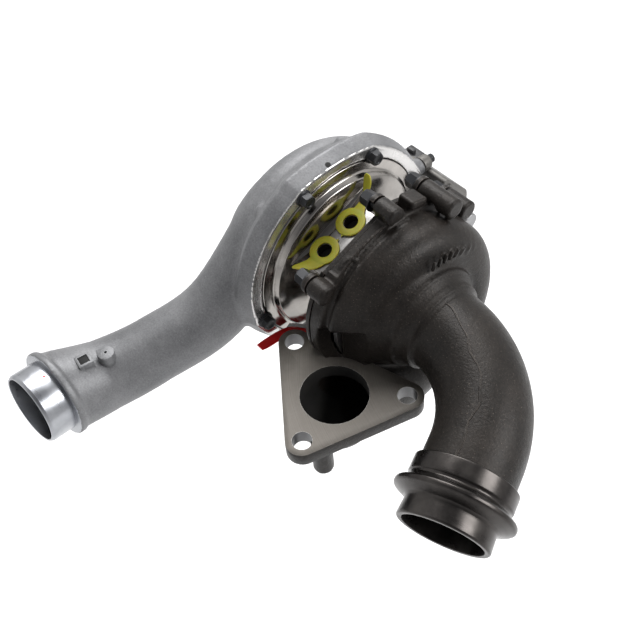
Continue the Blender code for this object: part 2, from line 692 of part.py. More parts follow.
def make_actuator():
    """Gear-motor case on the compressor cover, with its lid, plug and three screws."""
    low, high = ACTUATOR_X
    ear_top = ACTUATOR_FACE + EAR_THICK
    body = plate("actuator_body", ACTUATOR_OUTLINE, low, high - 4.0, ACTUATOR_GREY)
    join(body, rod("actuator_neck", 9.0, high - 6, high, at=(0, *ACTUATOR_SHAFT), steps=16))
    for i, (x, z) in enumerate(ACTUATOR_FEET):
        join(body, rod(f"actuator_ear_{i + 1}", 5.6, ACTUATOR_FACE, ear_top, at=(x, 0, z),
                       toward=(0, 1, 0), steps=12))
    cut(body, rod("actuator_shaft_bore", 5.4, 5.0, 20, at=(0, *ACTUATOR_SHAFT), steps=14))
    for i, (x, z) in enumerate(ACTUATOR_FEET):
        cut(body, rod(f"ear_screw_hole_{i + 1}", SCREW_R + GAP, 70, 90, at=(x, 0, z),
                      toward=(0, 1, 0), steps=8))
        make_bolt(f"actuator_screw_{i + 1}", (x, ear_top + GAP, z), (0, 1, 0), SCREW_R, 3.9, 3.4,
                  4.0, EAR_THICK + 9.0, STEEL)
    lid = ((91, 3.5), (103, -12.5), (103, -59), (91, -59))
    plate("actuator_cover", lid, low - 4.5, low - GAP, BLACK_PLASTIC)
    plug = block("actuator_connector", (14, 12, 13), BLACK_PLASTIC, at=(low - 12, 96, -8))
    cut(plug, block("plug_socket", (12, 8.5, 9.5), at=(low - 15, 96, -8)))


# ---- turbine housing ----


def scroll_radius(turned_by):
    return 37.5 + 32.5 * math.exp(-turned_by / 90.0)


def scroll_section(turned_by):
    """(x, radius of the hollow) of the turbine scroll, which narrows along the flow."""
    hollow = INLET_PORT_R - 13.5 * turned_by / SCROLL_TURN
    return 51.5 + 0.72 * hollow, hollow


def scroll_route():
    """Centre line from the inlet port down and round the scroll, with the radius of the hollow."""
    points = [Vector((*PORT_AT, FLANGE_TOP + 2)), Vector((*PORT_AT, FLANGE_TOP - 14))]
    hollows = [INLET_PORT_R, INLET_PORT_R]
    steps = 15
    for i in range(1, steps + 1):
        turned_by = SCROLL_TURN * i / steps
        x, hollow = scroll_section(turned_by)
        points.append(around(SCROLL_START + turned_by, scroll_radius(turned_by), x))
        hollows.append(hollow)
    return points, hollows


def elbow_route():
    """Centre line of the outlet elbow, its end direction and the middle of its V-band rim."""
    lateral = Vector((0, -math.cos(ELBOW_ROLL), -math.sin(ELBOW_ROLL)))
    start = Vector((ELBOW_START, 0, 0))
    points = [start - X * 9]
    for i in range(8):
        a = ELBOW_TURN * i / 7
        points.append(start + ELBOW_BEND * (math.sin(a) * X + (1 - math.cos(a)) * lateral))
    out = math.cos(ELBOW_TURN) * X + math.sin(ELBOW_TURN) * lateral
    rim = points[-1] + ELBOW_STRAIGHT * out
    return [*points, rim - 9 * out], out, rim


def make_turbine_housing():
    housing = turned(
        "turbine_housing",
        ((88, 0), (88, 28.8), (84, 29.5), (76, 33), (66, 43), (60, 49), (52, 56), (47, 56.5),
         (46, RIM_R), (RIM_END + GAP, RIM_R), (RIM_END + GAP, 0)),
        DARK_IRON, steps=30,
    )
    points, hollows = scroll_route()
    outer = [Vector((*PORT_AT, FLANGE_TOP - 4)), *points[1:]]
    route, out, rim = elbow_route()
    radii = [ELBOW_R] + [ELBOW_R + (ELBOW_END_R - ELBOW_R) * i / 8 for i in range(9)]
    outline = hull_of_circles([FLANGE_HOLES[i] for i in (0, 2, 1)], FLANGE_CORNER_R, 4)
    bottom = FLANGE_TOP - FLANGE_THICK
    join(
        housing,
        tube("scroll_outside", outer, [h + SCROLL_WALL for h in hollows], sides=12),
        rod("inlet_leg", 25.5, bottom - 8, FLANGE_TOP - 3, at=(*PORT_AT, 0), toward=Z, steps=20),
        plate("inlet_flange", outline, bottom, FLANGE_TOP, at=(*PORT_AT, 0), along=Z),
        tube("elbow_outside", route, radii, sides=16),
        turned(
            "vband_collar",
            ((LIP_LONG, 0), (LIP_LONG, LIP_R), (5.5, LIP_R), (3.5, LIP_R + 0.7), (1.2, VBAND_R),
             (-1.2, VBAND_R), (-5, 29.8), (-17, 29.8), (-19, 24), (-19, 0)),
            at=rim, toward=out, steps=28,
        ),
        rod("flange_stub", 6.2, -53.0, bottom + 4, at=STUB_AT, toward=Z, steps=12),
        block("rim_block", (12, 14, 12), at=around(74, 59, 44), tip=74),
    )
    for i, (angle, end) in enumerate(TURBINE_BOLTS):
        at = around(angle, TURBINE_BOLT_R)
        join(housing, rod(f"rim_boss_{i + 1}", EAR_R, RIM_END + 0.6, end, at=at, steps=12))
        join(housing, block(f"boss_web_{i + 1}", (7.4, 12, 9), at=around(angle, 56, 41.5), tip=angle))
    cut(housing, pad_block("turbine_rim_flat", (12, 40, 30), 52.6, 40))
    for i, (x, y) in enumerate(FLANGE_HOLES):
        at = (PORT_AT[0] + x, PORT_AT[1] + y, 0)
        cut(housing, rod(f"flange_hole_{i + 1}", FLANGE_HOLE_R, -40, -15, at=at, toward=Z, steps=16))
    for i, (angle, end) in enumerate(TURBINE_BOLTS):
        at = around(angle, TURBINE_BOLT_R)
        cut(housing, rod(f"boss_hole_{i + 1}", TURBINE_THREAD_R + GAP, 32, end - 4, at=at, steps=8))
    inner = [r - ELBOW_WALL for r in radii]
    cut(
        housing,
        tube("scroll_inside", points, hollows, sides=12),
        tube("elbow_inside", [*route, rim + (LIP_LONG + 2) * out], [*inner, LIP_BORE], sides=14),
        turned(
            "core_inside",
            ((86, 0), (86, 21.0), (82.5, 21.2), (82.5, 25.6), (62.9, 25.6), (62.9, 36.4),
             (51.4, 37.6), (51.4, PILOT_R + 0.2), (35, PILOT_R + 0.4), (35, 0)),
            steps=30,
        ),
    )


def make_turbine_bolts():
    for i, (angle, end) in enumerate(TURBINE_BOLTS):
        at = around(angle, TURBINE_BOLT_R, RIM_X - 0.1)
        make_bolt(f"turbine_bolt_{i + 1}", at, -X, TURBINE_THREAD_R, 6.0, 5.0, 8.0, end - 8 - RIM_X)


def main():
    make_compressor_cover()
    make_cover_bolts()
    make_bearing_housing()
    make_port_seals()
    make_drain_seal()
    make_inner_rings()
    make_rotor()
    make_journal_bearings()
    make_nozzle_ring()
    make_vanes()
    make_unison_ring()
    make_nozzle_insert()
    make_crank()
    make_link_and_arm()
    make_actuator()
    make_turbine_housing()
    make_turbine_bolts()


main()
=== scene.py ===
"""The looks of the turbocharger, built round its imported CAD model.

The helpers take millimetres in the shaft's own frame: x runs along the shaft from the compressor
(-x) to the turbine (+x), x = 0 is the ring face of the compressor cover, and an angle round the
shaft is measured from +Y towards +Z. Every mesh is stored in world metres.
"""

import json
import math

import bmesh
import bpy
import numpy as np
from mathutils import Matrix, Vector


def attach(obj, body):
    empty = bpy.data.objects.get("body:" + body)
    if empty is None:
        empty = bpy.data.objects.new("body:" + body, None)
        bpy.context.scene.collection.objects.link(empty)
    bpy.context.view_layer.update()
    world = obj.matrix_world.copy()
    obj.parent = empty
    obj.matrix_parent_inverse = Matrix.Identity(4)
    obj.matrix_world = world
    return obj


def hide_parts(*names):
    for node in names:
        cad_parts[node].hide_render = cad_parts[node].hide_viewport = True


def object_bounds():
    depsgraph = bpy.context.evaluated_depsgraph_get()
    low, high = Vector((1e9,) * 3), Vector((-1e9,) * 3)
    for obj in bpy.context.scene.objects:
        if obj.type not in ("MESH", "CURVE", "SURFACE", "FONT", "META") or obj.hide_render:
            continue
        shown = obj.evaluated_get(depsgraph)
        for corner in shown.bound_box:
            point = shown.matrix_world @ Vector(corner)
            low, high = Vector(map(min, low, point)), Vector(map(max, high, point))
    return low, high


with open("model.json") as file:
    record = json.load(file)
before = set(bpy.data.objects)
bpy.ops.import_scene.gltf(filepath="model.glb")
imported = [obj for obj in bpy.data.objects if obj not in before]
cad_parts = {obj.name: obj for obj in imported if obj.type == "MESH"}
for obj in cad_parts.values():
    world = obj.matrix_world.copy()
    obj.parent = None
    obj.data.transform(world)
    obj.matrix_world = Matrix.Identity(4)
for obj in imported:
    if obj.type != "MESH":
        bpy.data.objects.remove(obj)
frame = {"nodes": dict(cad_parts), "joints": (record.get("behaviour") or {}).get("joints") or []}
CAD_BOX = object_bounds()

MM = 0.001
FAR = 60.0  # a distance that is safely outside
SHAFT_AT = np.array(frame["joints"][0]["pos_m"]) / MM  # the rotor's joint lies on the shaft
STEP = 1.0  # grid of the castings, in millimetres
X, Y, Z = Vector((1, 0, 0)), Vector((0, 1, 0)), Vector((0, 0, 1))

COVER_BOLT_ANGLES = (13.5, 65.6, 112.7, 193.5, 245.6, 292.7)
TUBE_ROUTE = (
    (-31.5, -78.4, -19.0), (-45.4, -121.7, -37.5), (-55.5, -154.7, -43.4), (-60.2, -186.7, -37.7)
)
TUBE_END = Vector((-59.0, -203.6, -35.8))
TUBE_OUT = (TUBE_END - Vector(TUBE_ROUTE[-1])).normalized()
TUBE_RADII = (21.5, 21.5, 23.0, 27.0)
PORT_AT, PORT_R = (68.4, -68.2), 20.4
FLANGE_TOP, FLANGE_THICK = -20.0, 10.0
FLANGE_HOLES = ((-45.5, 7.9), (29.6, 30.1), (10.9, -34.1))  # from the port's centre
FLANGE_HOLE_R, FLANGE_CORNER_R = 5.9, 9.8
TURBINE_BOLTS = (  # angle, and where the ear behind the bolt ends
    (32.0, 55.0), (57.4, 62.0), (91.1, 51.0), (144.5, 49.0), (250.0, 50.0), (305.0, 50.0)
)
TURBINE_BOLT_R, EAR_R = 63.5, 6.3
CRANK_AT, CRANK_ARM, CRANK_LEVER = (42.8, -12.3), 16.0, 6.5
ACTUATOR_SHAFT = (92.0, -24.0)
ACTUATOR_FEET = ((-10.0, 13.0), (-27.0, -14.0), (-27.0, -50.0))
PAD_TIP, PAD_D = math.radians(22.0), 38.5
PAD_OUT = Vector((0, -math.sin(PAD_TIP), math.cos(PAD_TIP)))
PAD_ALONG = Vector((0, PAD_OUT.z, -PAD_OUT.y))


# ---- points and curves ----


def around(angle, radius, x=0.0):
    a = math.radians(angle)
    return Vector((x, radius * math.cos(a), radius * math.sin(a)))


def smooth(points, per_span):
    """Points on a Catmull-Rom curve through the given ones."""
    points = [Vector(p) for p in points]
    ends = [2 * points[0] - points[1], *points, 2 * points[-1] - points[-2]]
    found = [points[0]]
    for a, b, c, d in zip(ends, ends[1:], ends[2:], ends[3:]):
        for i in range(1, per_span + 1):
            t = i / per_span
            found.append(
                0.5 * (2 * b + (c - a) * t + (2 * a - 5 * b + 4 * c - d) * t**2
                       + (3 * b - a - 3 * c + d) * t**3)
            )
    return found


def spread(values, per_span):
    found = [values[0]]
    for a, b in zip(values, values[1:]):
        found += [a + (b - a) * i / per_span for i in range(1, per_span + 1)]
    return found


def arc(centre, radius, first, last, steps):
    angles = [math.radians(first + (last - first) * i / steps) for i in range(steps + 1)]
    return [(centre[0] + radius * math.cos(a), centre[1] + radius * math.sin(a)) for a in angles]


def hull_of_circles(centres, radius, steps=12):
    """The outline of a band stretched round equal circles, which are given counter-clockwise."""
    outline = []
    for i, centre in enumerate(centres):
        before = Vector(centre) - Vector(centres[i - 1])
        after = Vector(centres[(i + 1) % len(centres)]) - Vector(centre)
        first = math.degrees(math.atan2(before.y, before.x)) - 90
        last = math.degrees(math.atan2(after.y, after.x)) - 90
        outline += arc(centre, radius, first, first + (last - first) % 360, steps)
    return outline


def eased(outline, radius, steps=3):
    """The outline with each corner rounded a little, as a deburred edge is."""
    points = [Vector(p) for p in outline]
    found = []
    for i, corner in enumerate(points):
        before, after = points[i - 1] - corner, points[(i + 1) % len(points)] - corner
        if before.length < 1e-4 or after.length < 1e-4 or before.angle(after) > 2.9:
            found.append(corner)
            continue
        a = corner + before.normalized() * min(radius, 0.4 * before.length)
        b = corner + after.normalized() * min(radius, 0.4 * after.length)
        for j in range(steps + 1):
            t = j / steps
            found.append((1 - t) ** 2 * a + 2 * t * (1 - t) * corner + t**2 * b)
    return [tuple(p) for p in found]


# ---- meshes ----


def build(name, points, faces, sharp=32.0, tidy=True):
    """A mesh object from millimetre points in the shaft's frame."""
    mesh = bpy.data.meshes.new(name)
    mesh.from_pydata(((np.array(points, float) + SHAFT_AT) * MM).tolist(), [], faces)
    if tidy:
        bm = bmesh.new()
        bm.from_mesh(mesh)
        bmesh.ops.recalc_face_normals(bm, faces=bm.faces)
        bm.to_mesh(mesh)
        bm.free()
    obj = bpy.data.objects.new(name, mesh)
    bpy.context.scene.collection.objects.link(obj)
    shade(obj, sharp)
    return obj


def bands(rows, count, start=0):
    """The faces between neighbouring rings of points, and a cap at each end."""
    faces = []
    for i in range(start, start + (rows - 1) * count, count):
        for j in range(count):
            k = (j + 1) % count
            faces.append((i + j, i + k, i + count + k, i + count + j))
    last = start + (rows - 1) * count
    return [*faces, list(range(start, start + count)), list(range(last, last + count))]


def shade(obj, sharp):
    mesh = obj.data
    mesh.polygons.foreach_set("use_smooth", np.ones(len(mesh.polygons), bool))
    if sharp:
        mesh.set_sharp_from_angle(angle=math.radians(sharp))


def turned(name, profile, at=(0, 0, 0), toward=X, steps=96, ease=0.35, sharp=32.0):
    """A ring from (height, radius) pairs, or a bar if its ends lie on the axis. Its map runs round
    the piece and along the profile, so that tool marks can follow the turning."""
    w = Vector(toward).normalized()
    u = Y if w == X else w.orthogonal().normalized()
    v = w.cross(u)
    solid = profile[0][1] < 0.2 and profile[-1][1] < 0.2
    heights = profile[0][0], profile[-1][0]
    profile = eased(profile, ease) if ease else list(profile)
    if solid:
        profile = [p for p in profile if p[1] >= 0.2]
    count = len(profile)
    run = [0.0]
    for a, b in zip(profile, [*profile[1:], profile[0]]):
        run.append(run[-1] + math.hypot(b[0] - a[0], b[1] - a[1]))
    points, faces, marks = [], [], []
    turns = [2 * math.pi * j / steps for j in range(steps)]
    for h, r in profile:
        points += [Vector(at) + w * h + (u * math.cos(a) + v * math.sin(a)) * r for a in turns]
    wide = sum(p[1] for p in profile) / count * 2 * math.pi / steps
    for i in range(count - 1 if solid else count):
        down = (i + 1) % count
        for j in range(steps):
            on = (j + 1) % steps
            faces.append((i * steps + j, i * steps + on, down * steps + on, down * steps + j))
            marks += [(j * wide, run[i]), ((j + 1) * wide, run[i]), ((j + 1) * wide, run[i + 1]),
                      (j * wide, run[i + 1])]
    if solid:
        for row, height, order in ((0, heights[0], 1), (count - 1, heights[1], -1)):
            points.append(Vector(at) + w * height)
            for j in range(steps):
                ends = [row * steps + (j + 1) % steps, row * steps + j][::order]
                faces.append((len(points) - 1, *ends))
                rim = j * wide, run[row]
                marks += [(j * wide, run[row] + profile[row][1]), rim, rim]
    obj = build(name, points, faces, sharp, tidy=False)
    obj.data.uv_layers.new(name="turn").data.foreach_set("uv", (np.array(marks) * MM).ravel())
    bm = bmesh.new()
    bm.from_mesh(obj.data)
    inside_out = bm.calc_volume(signed=True) < 0
    bm.free()
    if inside_out:
        obj.data.flip_normals()
    return obj


def slab(name, outline, low, high, along=X, at=(0, 0, 0), bevel=0.5, segments=2, sharp=32.0):
    """An extruded outline with rounded edges, of (y, z) points along X, (x, z) along Y or (x, y)
    along Z."""
    put = {
        0: lambda a, b, h: (h, a, b), 1: lambda a, b, h: (a, h, b), 2: lambda a, b, h: (a, b, h),
    }[max(range(3), key=lambda k: abs(along[k]))]
    at = Vector(at)
    points = [Vector(put(a, b, h)) + at for h in (low, high) for a, b in outline]
    n = len(outline)
    faces = [list(range(n)), list(range(n, 2 * n))]
    faces += [(i, (i + 1) % n, n + (i + 1) % n, n + i) for i in range(n)]
    obj = build(name, points, faces, sharp)
    if bevel:
        bm = bmesh.new()
        bm.from_mesh(obj.data)
        edges = [e for e in bm.edges if e.calc_face_angle(0) > 0.5]
        bmesh.ops.bevel(bm, geom=edges, offset=bevel * MM, segments=segments, affect="EDGES",
                        profile=0.5, clamp_overlap=True)
        bm.to_mesh(obj.data)
        bm.free()
        shade(obj, sharp)
    return obj


def brick(name, size, at, tip=0.0, bevel=0.5, yaw=0.0, segments=2):
    """A rounded box, tipped about the shaft's direction or turned about Z."""
    a, b = size[0] / 2, size[1] / 2
    obj = slab(name, ((-a, -b), (a, -b), (a, b), (-a, b)), -size[2] / 2, size[2] / 2, Z,
               bevel=bevel, segments=segments)
    turn(obj, at, tip, yaw)
    return obj


def turn(obj, at, tip=0.0, yaw=0.0):
    """Turns a mesh that was made round the shaft frame's origin, and moves it to at."""
    co = vertices(obj)
    t, w = math.radians(tip), math.radians(yaw)
    spin = np.array([[math.cos(w), -math.sin(w), 0], [math.sin(w), math.cos(w), 0], [0, 0, 1]])
    lean = np.array([[1, 0, 0], [0, math.cos(t), -math.sin(t)], [0, math.sin(t), math.cos(t)]])
    co = (co - SHAFT_AT) @ (lean @ spin).T + np.array(at) + SHAFT_AT
    obj.data.vertices.foreach_set("co", (co * MM).ravel())
    obj.data.update()


def vertices(obj):
    co = np.zeros(len(obj.data.vertices) * 3)
    obj.data.vertices.foreach_get("co", co)
    return co.reshape(-1, 3) / MM


def swept(name, points, widths, thick, across, steps=10, sharp=40.0):
    """A strip that bends along points, with rounded edges and its own width at each point."""
    points = [Vector(p) for p in points]
    across = Vector(across).normalized()
    co = []
    for i, point in enumerate(points):
        along = points[min(i + 1, len(points) - 1)] - points[max(i - 1, 0)]
        up = along.cross(across).normalized()
        for j in range(steps):
            a = 2 * math.pi * j / steps
            c, s = math.cos(a), math.sin(a)
            flat = math.copysign(abs(c) ** 0.35, c)
            thin = math.copysign(abs(s) ** 0.6, s)
            co.append(point + across * flat * widths[i] / 2 + up * thin * thick / 2)
    return build(name, co, bands(len(points), steps), sharp)


def carve(obj, tools, operation="DIFFERENCE", sharp=32.0, solver="MANIFOLD"):
    """Cuts tools from a mesh, or joins them to it, and drops the tools."""
    for tool in tools:
        modifier = obj.modifiers.new("carve", "BOOLEAN")
        modifier.operation, modifier.solver, modifier.object = operation, solver, tool
        bpy.context.view_layer.update()
        graph = bpy.context.evaluated_depsgraph_get()
        mesh = bpy.data.meshes.new_from_object(obj.evaluated_get(graph))
        obj.modifiers.clear()
        obj.data = mesh
        bpy.data.objects.remove(tool)
    shade(obj, sharp)
    return obj


def merge(name, *objs):
    """One piece from several meshes, which keep their materials."""
    bpy.ops.object.select_all(action="DESELECT")
    for obj in objs:
        obj.select_set(True)
    bpy.context.view_layer.objects.active = objs[0]
    bpy.ops.object.join()
    objs[0].name = objs[0].data.name = name
    return objs[0]


def paint(obj, mat):
    obj.data.materials.clear()
    obj.data.materials.append(mat)
    return obj


def settle(obj, slot, *nodes, body="housings"):
    """Puts a finished piece on its body, in place of its CAD nodes if it has any. A piece that has
    no look of its own gets its slot's."""
    if not any(obj.data.materials):
        paint(obj, SLOT_LOOKS[slot])
    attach(obj, body)
    if nodes:
        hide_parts(*nodes)
    return obj


# ---- castings: distances on a grid, so that parts melt into each other as cast metal does ----


def outline_distance(px, py, outline):
    """Distance to a closed outline, below 0 inside."""
    best = np.full(np.broadcast(px, py).shape, 1e9)
    inside = np.zeros(best.shape, bool)
    for (ax, ay), (bx, by) in zip(outline, [*outline[1:], outline[0]]):
        ex, ey = bx - ax, by - ay
        t = np.clip(((px - ax) * ex + (py - ay) * ey) / (ex * ex + ey * ey), 0, 1)
        best = np.minimum(best, (px - ax - t * ex) ** 2 + (py - ay - t * ey) ** 2)
        if ay != by:
            inside ^= ((ay > py) != (by > py)) & (px < ex * (py - ay) / ey + ax)
    return np.sqrt(best) * np.where(inside, -1, 1)


def spun(profile, swell=None):
    """A shape turned round the shaft, from (x, radius) points. swell(angle) moves its wall out."""
    reach = max(r for _, r in profile) + (3 if swell else 0)
    low = (min(x for x, _ in profile), -reach, -reach)
    high = (max(x for x, _ in profile), reach, reach)

    def distance(x, y, z):
        radius = np.sqrt(y**2 + z**2)[0]
        if swell:
            radius = radius - swell(np.degrees(np.arctan2(z + 0 * y, y + 0 * z))[0])
        marks = np.arange(-4, radius.max() + 1, 0.25)
        table = outline_distance(x.ravel()[:, None], marks[None, :], profile)
        return np.stack([np.interp(radius, marks, row) for row in table])

    return low, high, distance


def pipe(points, radii, near=8.0):
    """A round tube through points, with a radius at each."""
    points, radii = np.array(points, float), np.array(radii, float)

    def distance(x, y, z):
        found = np.full(np.broadcast(x, y, z).shape, FAR)
        for a, b, ra, rb in zip(points, points[1:], radii, radii[1:]):
            reach = max(ra, rb) + near
            low, high = np.minimum(a, b) - reach, np.maximum(a, b) + reach
            part = tuple(slice(*np.searchsorted(values.ravel(), (low[k], high[k])))
                         for k, values in enumerate((x, y, z)))
            px, py, pz = x[part[0]] - a[0], y[:, part[1]] - a[1], z[:, :, part[2]] - a[2]
            ab = b - a
            t = np.clip((px * ab[0] + py * ab[1] + pz * ab[2]) / (ab @ ab), 0, 1)
            d = np.sqrt((px - t * ab[0]) ** 2 + (py - t * ab[1]) ** 2 + (pz - t * ab[2]) ** 2)
            found[part] = np.minimum(found[part], d - ra - (rb - ra) * t)
        return found

    return points.min(0) - radii.max(), points.max(0) + radii.max(), distance


def rounded(qx, qy, rounding):
    return (np.sqrt(np.maximum(qx, 0) ** 2 + np.maximum(qy, 0) ** 2)
            + np.minimum(np.maximum(qx, qy), 0) - rounding)


def peg(a, b, radius, rounding=0.6):
    """A round bar with flat ends, from a to b."""
    a, b = np.array(a, float), np.array(b, float)
    long = np.linalg.norm(b - a)
    axis = (b - a) / long

    def distance(x, y, z):
        px, py, pz = x - a[0], y - a[1], z - a[2]
        h = px * axis[0] + py * axis[1] + pz * axis[2]
        r = np.sqrt(np.maximum(px**2 + py**2 + pz**2 - h**2, 0))
        return rounded(r - radius + rounding, abs(h - long / 2) - long / 2 + rounding, rounding)

    return np.minimum(a, b) - radius, np.maximum(a, b) + radius, distance


def chunk(size, at, tip=0.0, rounding=1.0):
    """A rounded box, tipped about the shaft's direction."""
    at, half = np.array(at, float), np.array(size) / 2 - rounding
    c, s = math.cos(math.radians(tip)), math.sin(math.radians(tip))
    reach = np.linalg.norm(np.array(size)) / 2

    def distance(x, y, z):
        px, py, pz = x - at[0], (y - at[1]) * c + (z - at[2]) * s, (z - at[2]) * c - (y - at[1]) * s
        q = [abs(p) - h for p, h in zip((px, py, pz), half)]
        out = np.sqrt(sum(np.maximum(v, 0) ** 2 for v in q))
        return out + np.minimum(np.maximum(np.maximum(q[0], q[1]), q[2]), 0) - rounding

    return at - reach, at + reach, distance


def beyond(at, toward, reach):
    """Everything past a plane, near one of its points."""
    at, toward = np.array(at, float), np.array(Vector(toward).normalized())
    return at - reach, at + reach, lambda x, y, z: -(
        (x - at[0]) * toward[0] + (y - at[1]) * toward[1] + (z - at[2]) * toward[2]
    )


class Casting:
    def __init__(self, low, high):
        self.low = np.array(low, float)
        self.values = np.full([int((b - a) / STEP) + 2 for a, b in zip(low, high)], FAR, np.float32)

    def window(self, low, high, margin):
        first = (np.array(low) - margin - self.low) / STEP
        last = (np.array(high) + margin - self.low) / STEP
        first = np.maximum(np.floor(first).astype(int), 0)
        last = np.minimum(np.ceil(last).astype(int) + 1, self.values.shape)
        part = tuple(slice(a, b) for a, b in zip(first, last))
        return part, [g * STEP + o for g, o in zip(np.ogrid[part], self.low)]

    def add(self, shape, blend=0.0, sign=1):
        low, high, distance = shape
        part, grid = self.window(low, high, blend + 2 * STEP)
        a, b = sign * self.values[part], distance(*grid)
        found = np.minimum(a, b)
        if blend:
            found -= np.maximum(blend - abs(a - b), 0) ** 2 / (4 * blend)
        self.values[part] = sign * found

    def cut(self, shape, blend=0.0):
        self.add(shape, blend, -1)

    def skin(self, name):
        """The surface where the distance is 0: one point for each cell that it crosses."""
        inside = self.values < 0
        size = [n - 1 for n in inside.shape]
        count = np.zeros(size, np.uint8)
        for corner in np.ndindex(2, 2, 2):
            count += inside[tuple(slice(c, c + n) for c, n in zip(corner, size))]
        cells = np.argwhere((count > 0) & (count < 8))
        index = np.full(size, -1, np.int32)
        index[tuple(cells.T)] = np.arange(len(cells))
        total, hits = np.zeros((len(cells), 3)), np.zeros(len(cells))
        for axis in range(3):
            for side in np.ndindex(2, 2):
                start = np.zeros(3, int)
                start[[(axis + 1) % 3, (axis + 2) % 3]] = side
                end = start.copy()
                end[axis] = 1
                a, b = self.values[tuple((cells + start).T)], self.values[tuple((cells + end).T)]
                crossed = (a < 0) != (b < 0)
                t = np.where(crossed, a / np.where(crossed, a - b, 1), 0)
                total += (start + t[:, None] * (end - start)) * crossed[:, None]
                hits += crossed
        points = (cells + total / hits[:, None]) * STEP + self.low
        quads = []
        for axis in range(3):
            b, c = (axis + 1) % 3, (axis + 2) % 3
            first, second = [slice(1, -1)] * 3, [slice(1, -1)] * 3
            first[axis], second[axis] = slice(0, -1), slice(1, None)
            u, v = inside[tuple(first)], inside[tuple(second)]
            for changed, order in ((u & ~v, (0, 1, 2, 3)), (~u & v, (3, 2, 1, 0))):
                at = np.argwhere(changed)
                at[:, [b, c]] += 1
                ring = []
                for db, dc in ((-1, -1), (0, -1), (0, 0), (-1, 0)):
                    cell = at.copy()
                    cell[:, b] += db
                    cell[:, c] += dc
                    ring.append(index[tuple(cell.T)])
                quads.append(np.stack([ring[k] for k in order], 1))
        return build(name, points, np.concatenate(quads).tolist(), sharp=0, tidy=False)


# ---- materials ----


class Look:
    """A node material with one Principled shader. Sockets take numbers or other nodes' outputs."""

    def __init__(self, name, **sockets):
        self.mat = bpy.data.materials.new(name)
        self.mat.use_nodes = True
        self.tree = self.mat.node_tree
        self.shader = self.tree.nodes["Principled BSDF"]
        for socket, value in sockets.items():
            self.set(self.shader, socket.replace("_", " ").title().replace("Ior", "IOR"), value)
        self.place = self.node("ShaderNodeTexCoord").outputs["Object"]

    def set(self, node, socket, value):
        target = node.inputs[socket]
        if isinstance(value, bpy.types.NodeSocket):
            self.tree.links.new(value, target)
        else:
            target.default_value = value

    def node(self, kind, inputs=(), **settings):
        node = self.tree.nodes.new(kind)
        for key, value in settings.items():
            setattr(node, key, value)
        for socket, value in dict(inputs).items():
            self.set(node, socket, value)
        return node

    def noise(self, scale, detail=3.0, rough=0.55, at=None, stretch=None):
        at = self.place if at is None else at
        if stretch:
            at = self.node("ShaderNodeMapping", {"Vector": at, "Scale": stretch}).outputs[0]
        return self.node("ShaderNodeTexNoise", {"Vector": at, "Scale": scale, "Detail": detail,
                                                "Roughness": rough}).outputs["Fac"]

    def between(self, value, low, high, out_low=0.0, out_high=1.0):
        return self.node("ShaderNodeMapRange", {"Value": value, "From Min": low, "From Max": high,
                                                "To Min": out_low, "To Max": out_high}).outputs[0]

    def mix(self, amount, a, b):
        node = self.tree.nodes.new("ShaderNodeMix")
        node.data_type = "RGBA"
        for k, value in ((0, amount), (6, a), (7, b)):
            if isinstance(value, bpy.types.NodeSocket):
                self.tree.links.new(value, node.inputs[k])
            else:
                node.inputs[k].default_value = (*value, 1) if k else value
        return node.outputs[2]

    def math(self, operation, a, b=0.0):
        return self.node("ShaderNodeMath", {0: a, 1: b}, operation=operation).outputs[0]

    def edges(self, radius=0.0006, low=0.02, high=0.25):
        """1 along outer edges, 0 on flat and hollow places."""
        bevel = self.node("ShaderNodeBevel", {"Radius": radius}, samples=4).outputs[0]
        normal = self.node("ShaderNodeNewGeometry").outputs["Normal"]
        dot = self.node("ShaderNodeVectorMath", {0: bevel, 1: normal}, operation="DOT_PRODUCT")
        return self.between(self.math("SUBTRACT", 1.0, dot.outputs["Value"]), low, high)

    def bump(self, height, strength, distance, normal=None):
        inputs = {"Height": height, "Strength": strength, "Distance": distance}
        if normal is not None:
            inputs["Normal"] = normal
        return self.node("ShaderNodeBump", inputs).outputs[0]

    def finish(self, colour=None, roughness=None, normal=None):
        for socket, value in (("Base Color", colour), ("Roughness", roughness), ("Normal", normal)):
            if value is not None:
                self.set(self.shader, socket, value)
        return self.mat


def cast(name, dark, light, metallic, rough, grain, depth, worn, edge=0.35, **sockets):
    """Sand-cast metal: grain, blotches and rubbed edges."""
    look = Look(name, metallic=metallic, **sockets)
    fine = look.noise(grain, 4.0, 0.65)
    blotch = look.noise(38.0, 4.0, 0.6)
    both = look.math("ADD", look.math("MULTIPLY", fine, 0.45), look.math("MULTIPLY", blotch, 0.55))
    colour = look.mix(look.between(both, 0.36, 0.64), dark, light)
    specks = look.between(look.noise(grain * 1.7, 2.0, 0.5), 0.66, 0.74, 0.0, 0.5)
    colour = look.mix(specks, colour, worn)
    colour = look.mix(look.math("MULTIPLY", look.edges(0.0009), edge), colour, worn)
    coarse = look.bump(look.noise(grain * 0.28, 3.0, 0.6), 0.35, depth * 2.2)
    normal = look.bump(fine, 0.75, depth, coarse)
    return look.finish(colour, look.between(blotch, 0.3, 0.7, rough - 0.06, rough + 0.08), normal)


